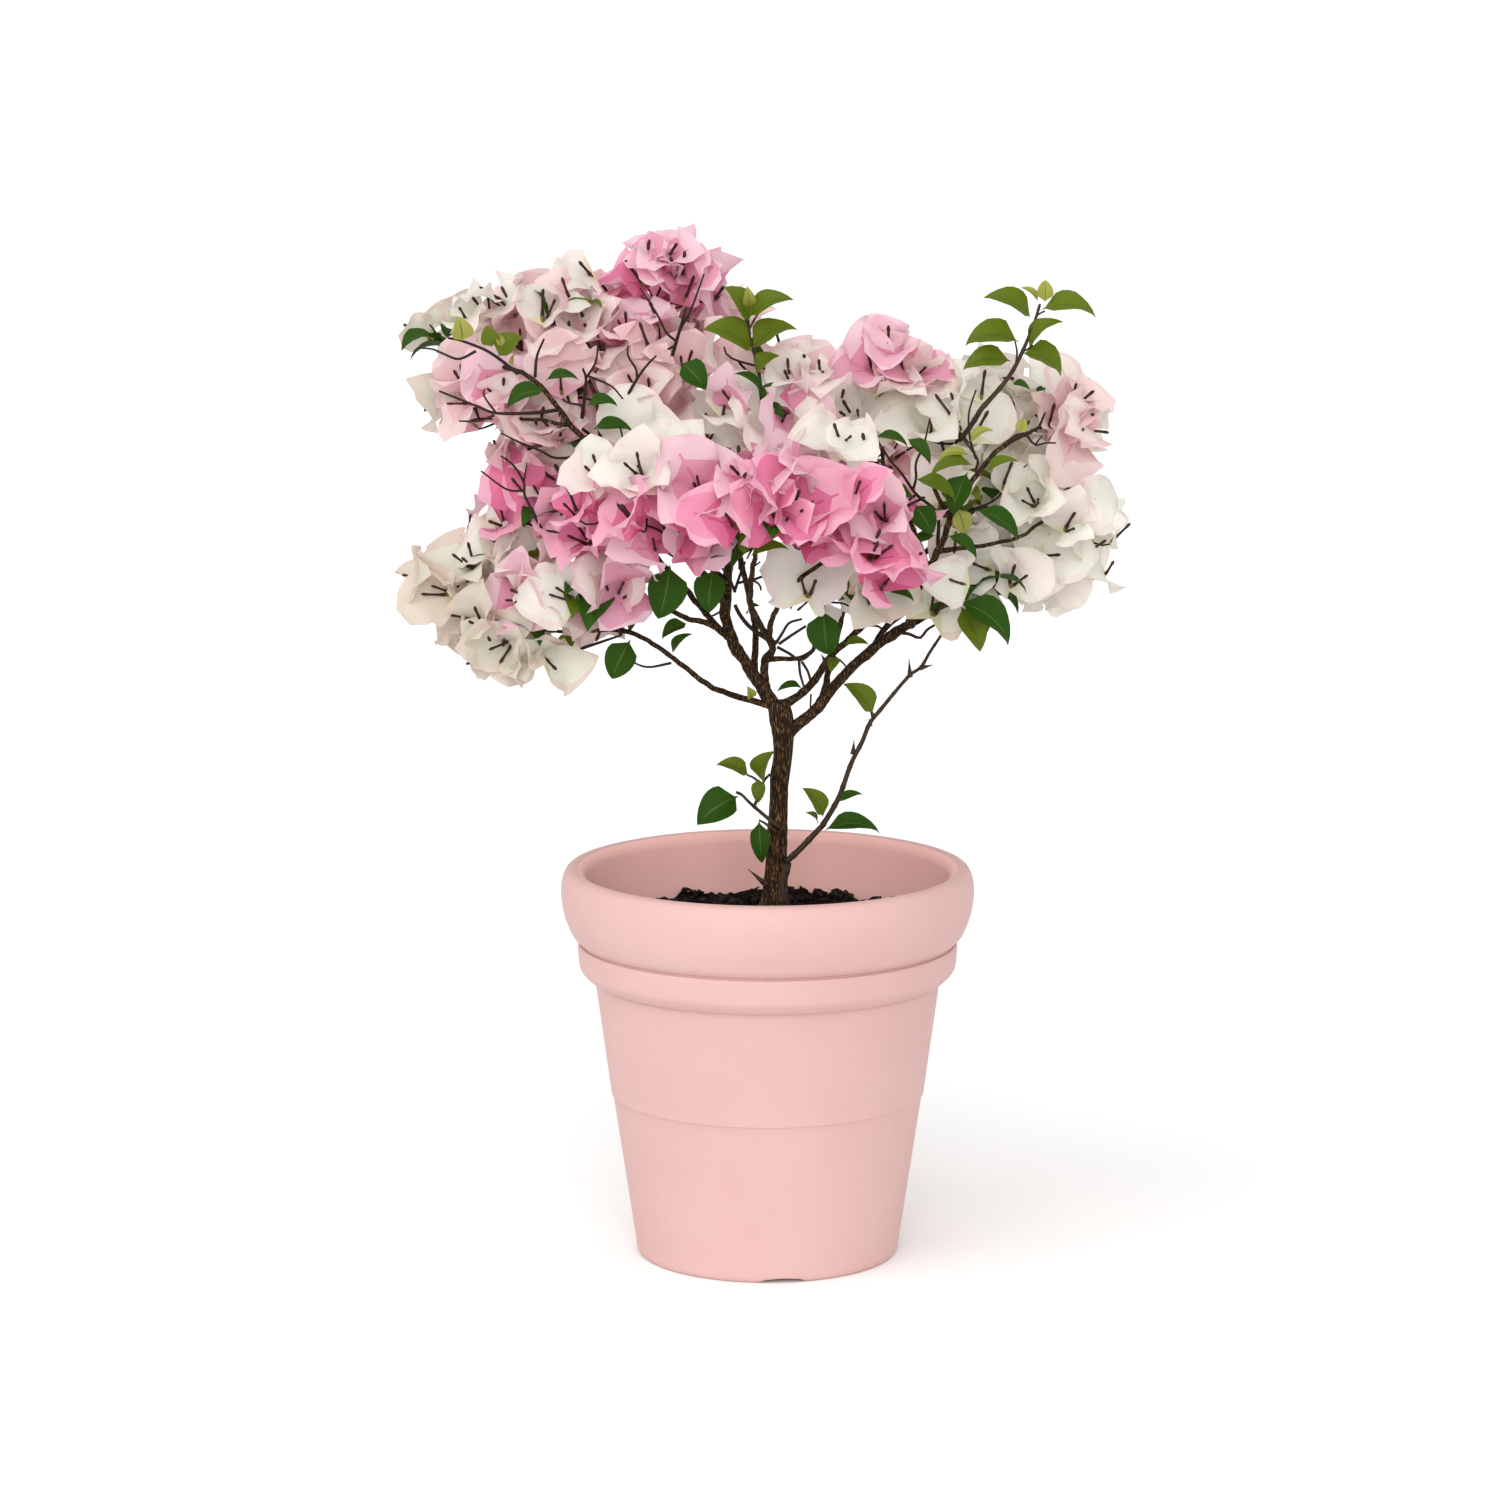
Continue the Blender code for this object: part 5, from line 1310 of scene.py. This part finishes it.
def sightTree(plans, front):
    # what the bracts leave in sight: places along front twigs, limbs, leaves and flower tubes
    marks = []
    for spots in front.values():
        for place, axis, _, _, shown in spots:
            if shown:
                marks += [pixelOf(place + axis * flower["length"] * share) for share in (0.7, 1.0)]
    for places, _ in twigLines:
        marks += [pixelOf(a.lerp(b, t / 3)) for a, b in zip(places, places[1:]) for t in range(3)]
    for root, along, *_ in leafSpots:
        marks += [pixelOf(root + along * t) for t in (0.1, 0.3, 0.5, 0.7, 0.9)]
    for name in ("top_left_outer", "right_top_outer"):
        marks += [pixelOf(place) for place in smoothWay(plans[name][1], 90)[30:]]
    tree = kdtree.KDTree(len(marks))
    for k, (pixel, _) in enumerate(marks):
        tree.insert(pixel, k)
    tree.balance()
    return tree, [far for _, far in marks]


def hides(place, sight, own=None):
    # own is where a cluster's own tubes end, which its bracts may stand before
    tree, fars = sight
    pixel, far = pixelOf(place)
    if own and (pixel - own).length < crown["tubeReach"]:
        return False
    _, k, distance = tree.find(pixel)
    return distance < crown["markReach"] and far < fars[k] + 0.001


def inGap(place):
    pixel, _ = pixelOf(place)
    return any(math.hypot(pixel.x - px, pixel.y - py) < reach for px, py, reach in skyGaps)


def planFront(rng):
    for near, farther, root, tip, pixels in frontTwigs:
        last = len(pixels) - 1
        places = [inDepth(px, py, near + (farther - near) * k / last)
                  for k, (px, py) in enumerate(pixels)]
        points = smoothWay(places, max(6, round(wayLength(places) / bark["twigStep"])))
        count = len(points) - 1
        radii = [root + (tip - root) * k / count for k in range(count + 1)]
        twigLines.append((points, radii))
    for depth, width, shade, root, tip in frontLeaves:
        reach = rng.uniform(-0.004, 0.008)
        leafBetween(inDepth(*root, depth), inDepth(*tip, depth - reach), width, shade, rng)


def frontPlaces(rng):
    # each front cluster with the mass it belongs to, on the near side of that mass's room
    found = {name: [] for name in masses}
    for tint, pixels in frontClusters:
        for px, py, *read in pixels:
            best = None
            for name, (middle, radius, *_) in masses.items():
                if name.startswith("back"):
                    continue
                place = inDepth(px, py, middle[1])
                apart = (place - Vector(middle)).length
                rank = (apart + crown["nearBias"] * middle[1], name, apart)
                best = min(best or rank, rank)
            _, name, apart = best
            middle, radius = Vector(masses[name][0]), masses[name][1]
            room = math.sqrt(max(0.0, (crown["frontShell"] * radius) ** 2 - apart ** 2))
            recess = read[2] if len(read) > 2 else 0.0
            place = inDepth(px, py, middle.y - room + recess)
            if read:
                across, fall = (lean / crown["tubeReach"] for lean in read[:2])
                toCamera = math.sqrt(max(0.06, 1 - across ** 2 - fall ** 2))
                axis = Vector((across, -fall * math.sin(tilt) - toCamera * math.cos(tilt),
                               -fall * math.cos(tilt) + toCamera * math.sin(tilt))) + shaken(rng, 0.06)
            else:
                outward = (middle - crown["middle"]).normalized()
                axis = (place - middle) / radius * 0.45 + crown["facing"] + outward * crown["apart"]
                axis += shaken(rng, 0.28)
            found[name].append((place, axis.normalized(), tint, True, bool(read)))
    return found


def addCorolla(place, axis, tint, rng, sight, near, slack):
    # three bracts that open round an axis, most with a flower tube; none hides more than it may
    spread = math.radians(rng.uniform(*bract["spread"]))
    roll, across = rng.uniform(0, 6.3), axis.orthogonal().normalized()
    tone = rng.choices((0, 1, 2), bract["tones"])[0]
    size = rng.uniform(0.90, 1.12) * (1.06 if near and tint != "white" else 0.96)
    made, own = 0, pixelOf(place + axis * flower["length"] * 0.7)[0] if near else None
    for k in range(3):
        turn = Matrix.Rotation(roll + k * 2 * math.pi / 3 + rng.uniform(-0.15, 0.15), 3, axis)
        out = turn @ across
        opened = spread + rng.uniform(-0.12, 0.12)
        along = axis * math.cos(opened) + out * math.sin(opened)
        up = axis * math.sin(opened) - out * math.cos(opened)
        side = along.cross(up)
        length = bract["length"] * size * rng.uniform(0.90, 1.06)
        while length > bract["least"] and not insideCrown(place + along * length, slack):
            length *= bract["shrink"]
        if length <= bract["least"]:
            continue
        samples = [place + along * length * v + side * length * u for v in (0.2, 0.45, 0.7, 0.95)
                   for u in ((-0.34, 0, 0.34) if v < 0.9 else (0,))]
        if sum(hides(sample, sight, own) for sample in samples) > (1 if near else 0):
            continue
        if any(inGap(sample) for sample in samples):
            continue
        shade = tone if rng.random() < bract["ownTone"] else rng.choice((0, 1, 2))
        bractSpots[tint].append((place - along * 0.0012, along, up, length,
                                 rng.randrange(bract["kinds"]), shade))
        made += 1
        if rng.random() < bract["tubes"]:
            lean = rng.uniform(0.14, 0.34)
            stalk = axis * math.cos(lean) + out * math.sin(lean)
            flowerSpots.append((place + along * 0.001, stalk, up,
                                flower["length"] * rng.uniform(0.85, 1.15), 0, 0))
    return made


def addTwig(nodes, place, axis, rng):
    # a curved twig from the nearest wood to a cluster, which it meets along the cluster's axis
    node = min(nodes, key=lambda other: (other - place).length)
    way = place - node
    if way.length < 0.003:
        return None
    sag = shaken(rng, 0.25) * way.length
    a, b = node + way * 0.35 + sag * 0.6, place - axis * way.length * 0.35
    points, (thick, loss) = [], bark["twigRadii"]
    for k in range(8):
        t, rest = k / 7, 1 - k / 7
        points.append(node * rest ** 3 + a * 3 * t * rest ** 2 + b * 3 * t * t * rest + place * t ** 3)
    twigLines.append((points, [thick - loss * k / 7 for k in range(8)]))
    nodes.append(points[4])
    return points


def goldenDirection(k, count, turn):
    z = 1 - 2 * (k + 0.5) / count
    flat = math.sqrt(1 - z * z)
    angle = k * math.pi * (3 - math.sqrt(5)) + turn
    return Vector((flat * math.cos(angle), flat * math.sin(angle), z))


def crowds(place, front):
    # true for a cluster that would stand before a front one
    aside = math.hypot(place.x - front.x, place.z - front.z)
    return aside < crown["clearSide"] and place.y < front.y + crown["clearDepth"]


def growMass(name, plans, front, rng, sight):
    middle, radius, wanted, leafy, tint = masses[name]
    middle, tries, slacks = Vector(middle), crown["tries"], crown["slack"]
    knee, heart = massStem(name, plans)
    nodes = [knee, knee.lerp(heart, 0.35), knee.lerp(heart, 0.7), heart]
    nodes += [p for points, _ in twigLines[:len(frontTwigs)] for p in points[3::4]
              if (p - middle).length < radius * 1.2]
    outward = (middle - crown["middle"]).normalized()
    spots = list(front)
    turn = rng.uniform(0, 2 * math.pi)
    for k in range(4 * tries):
        if len(spots) >= wanted + len(front) * 0.6:
            break
        way = goldenDirection((k * 51) % tries, tries, turn)
        if way.dot(outward) < crown["inmost"]:
            continue
        place = middle + way * radius * rng.uniform(*crown["shell"])
        if any((place - other[0]).length < crown["spacing"] for other in spots):
            continue
        if any(crowds(place, other[0]) for other in spots if other[3]):
            continue
        axis = (way + outward * crown["apart"] + Vector((0, 0, 0.25))).normalized()
        spots.append((place, axis, tint, False, False))
    made = 0
    for place, axis, ownTint, near, shown in spots:
        points = addTwig(nodes, place, axis, rng)
        where = "shown" if shown else "near" if near else "back" if name.startswith("back") else "plain"
        made += addCorolla(place, axis, ownTint, rng, sight, near, slacks[where])
        leaves = math.floor(leafy + rng.random())
        for _ in range(leaves if points else 0):
            root = points[rng.randrange(2, 6)]
            out = Vector((rng.uniform(-1, 1), rng.uniform(-1, 1), rng.uniform(-0.8, 0.5))).normalized()
            along = (out + outward * 0.5).normalized()
            length = rng.uniform(*leaf["length"])
            if insideCrown(root + along * length) and not hides(root + along * length * 0.6, sight):
                leafSpots.append((root, along, Vector((0, 0, 1)) + out * 0.3, length,
                                  rng.randrange(1, 4), 0 if rng.random() < leaf["darkShare"] else 1))
    return len(spots), made


def growCrown(plans):
    rng = random.Random(77)
    planFront(rng)
    front = frontPlaces(rng)
    sight = sightTree(plans, front)
    for number, name in enumerate(masses):
        count, made = growMass(name, plans, front[name], random.Random(900 + number), sight)
        print(f"mass {name}: {count} clusters, {made} bracts")
    for tint, colours in tints.items():
        shapes = bractShapes("pale" if tint in ("white", "cream") else "deep")
        paints = [thinMaterial(f"bract_{tint}_{k}", dict(bract["skin"], colour=colour))
                  for k, colour in enumerate(colours)]
        piece = scatter("bracts_" + tint, bractSpots[tint], shapes, paints)
        own = ["blossom_" + name for name, spec in masses.items() if spec[4] == tint]
        settle(piece, "blossom_" + tint, *own)
    tubes = [plainMaterial("flower_tube", flower["tube"])] * 3
    tubes.append(plainMaterial("flower_foot", flower["foot"]))
    settle(scatter("flowers", flowerSpots, [flowerShape()], tubes), "leaf")
    greens = [thinMaterial("leaf_" + key, leaf[key]) for key in ("dark", "mid", "young", "rib")]
    settle(scatter("leaves", leafSpots, leafShapes(), greens), "leaf")
    finish = plainMaterial("twig_bark", bark["twig"])
    settle(growTubes("twigs", twigLines, finish, bark["twigSides"]), "bark")


# low shoots and leafy leaders: stems and thorns as tubes

shoots = {
    "sides": 9,
    # root and tip radius, depth at root and tip, places as the camera sees them
    "stems": (
        (0.0019, 0.0008, -0.006, -0.006,
         ((784, 860), (797, 848), (817, 827), (822, 821), (837, 795), (849, 762), (860, 740), (868, 721),
          (880, 706), (893, 690), (908, 673), (919, 665), (928, 650), (938, 635), (950, 616))),
        (0.0042, 0.0024, -0.004, -0.004, ((779, 900), (780, 880), (786, 860))),
        (0.0013, 0.0008, -0.008, -0.008, ((778, 826), (762, 813), (748, 801), (740, 793), (734, 790))),
        (0.001, 0.0007, -0.009, -0.009, ((752, 805), (758, 790), (762, 779), (768, 772))),
        (0.0008, 0.0006, -0.009, -0.009, ((760, 783), (752, 776), (745, 773))),
        (0.001, 0.0006, -0.01, -0.01, ((774, 830), (764, 822), (757, 818))),
        (0.001, 0.0007, -0.008, -0.008, ((820, 825), (826, 815), (834, 803))),
        (0.0016, 0.0008, -0.07, -0.07,
         ((976, 412), (981, 405), (1003, 380), (1017, 357), (1031, 324), (1038, 302))),
        (0.0015, 0.0016, -0.034, -0.07, ((958, 438), (968, 425), (977, 411))),
        (0.0006, 0.0005, -0.07, -0.07, ((1014, 361), (1015, 350), (1013, 339))),
        (0.0006, 0.0005, -0.07, -0.07, ((1033, 316), (1037, 312), (1043, 309))),
        (0.0006, 0.0005, -0.07, -0.07, ((1020, 350), (1026, 347), (1031, 343))),
        (0.0007, 0.0005, -0.084, -0.084, ((746, 322), (742, 314), (738, 306))),
        (0.0007, 0.0005, -0.084, -0.084, ((747, 328), (752, 318), (757, 311))),
        (0.0013, 0.0007, -0.084, -0.084,
         ((762, 418), (759, 392), (756, 366), (749, 340), (746, 318), (746, 304))),
    ),
    "thorns": ((-0.006, (851, 752), (852, 738)), (-0.006, (868, 724), (867, 717)),
               (-0.006, (872, 716), (867, 704)), (-0.006, (918, 666), (931, 663)),
               (-0.006, (908, 675), (907, 657)), (-0.010, (824, 661), (819, 652)),
               (-0.010, (762, 881), (746, 867))),
    "step": 0.0016,
    "scarStep": 0.013,
    "scarReach": 0.0012,
    "scarSwell": 0.16,
    "thorn": (0.0018, 0.12),  # radius at its root, and the share left at its tip
    "finish": {"colour": "#2A1B10", "light": "#48341D", "dark": "#1C110A", "scale": 700.0,
               "sharpness": 0.2, "stretch": 0.3, "grainScale": 900.0, "grainStrength": 0.4,
               "grainDepth": 0.0005, "roughness": 0.7, "shine": 0.35},
}


def makeShoots():
    store = ([], [])
    for root, tip, near, farther, pixels in shoots["stems"]:
        places = [inDepth(px, py, near + (farther - near) * k / (len(pixels) - 1))
                  for k, (px, py) in enumerate(pixels)]
        length = wayLength(places)
        points = smoothWay(places, max(6, round(length / shoots["step"])))

        def radiusAt(run, angle, place):
            radius = root + (tip - root) * min(1.0, run / length)
            at = run % shoots["scarStep"] - shoots["scarStep"] / 2
            scar = math.exp(-(at / shoots["scarReach"]) ** 2)
            return radius * (1 + shoots["scarSwell"] * scar + 0.06 * noise.noise(place * 500))

        addTube(store, points, radiusAt, shoots["sides"])
    thick, least = shoots["thorn"]
    for depth, root, tip in shoots["thorns"]:
        places = [inDepth(*root, depth), inDepth(*tip, depth)]
        length = wayLength(places)
        addTube(store, smoothWay(places, 6), lambda run, *_: thick * max(least, 1 - run / length),
                shoots["sides"])
    piece = meshOf("shoots", store, speckledMaterial("shoot_skin", shoots["finish"]))
    print("shoots:", len(piece.data.polygons), "faces")
    return settle(piece, "leaf", "right_shoot", "left_shoot")


growCrown(plans)
makeShoots()
print("crown done")


# floor, light and camera

studio = {
    "sky": "#FFFFFF",
    "skyPower": 0.86,
    # power, width across in degrees, turn: the key from the upper left, a low one from the front
    "suns": ((1.10, 60.0, (46, 0, -38)), (1.05, 32.0, (67, 0, 4))),
    "floor": {"colour": "#F7F7F6", "roughness": 0.9, "shine": 0.1},
    "floorSize": 120.0,
}


def makeStudio():
    world = bpy.data.worlds.new("sky")
    bpy.context.scene.world = world
    world.use_nodes = True
    back = world.node_tree.nodes["Background"]
    back.inputs["Color"].default_value = paint(studio["sky"])
    back.inputs["Strength"].default_value = studio["skyPower"]
    for power, across, turn in studio["suns"]:
        data = bpy.data.lights.new("sun", "SUN")
        data.energy = power
        data.angle = math.radians(across)
        sun = bpy.data.objects.new("sun", data)
        sun.rotation_euler = [math.radians(angle) for angle in turn]
        bpy.context.scene.collection.objects.link(sun)
    bm = bmesh.new()
    bmesh.ops.create_grid(bm, x_segments=1, y_segments=1, size=studio["floorSize"] / 2)
    mesh = bpy.data.meshes.new("floor")
    bm.to_mesh(mesh)
    bm.free()
    floor = addObject("floor", mesh)
    mesh.materials.append(plainMaterial("floor", studio["floor"]))
    bpy.context.scene.view_settings.view_transform = "Standard"


makeStudio()
makeCamera()
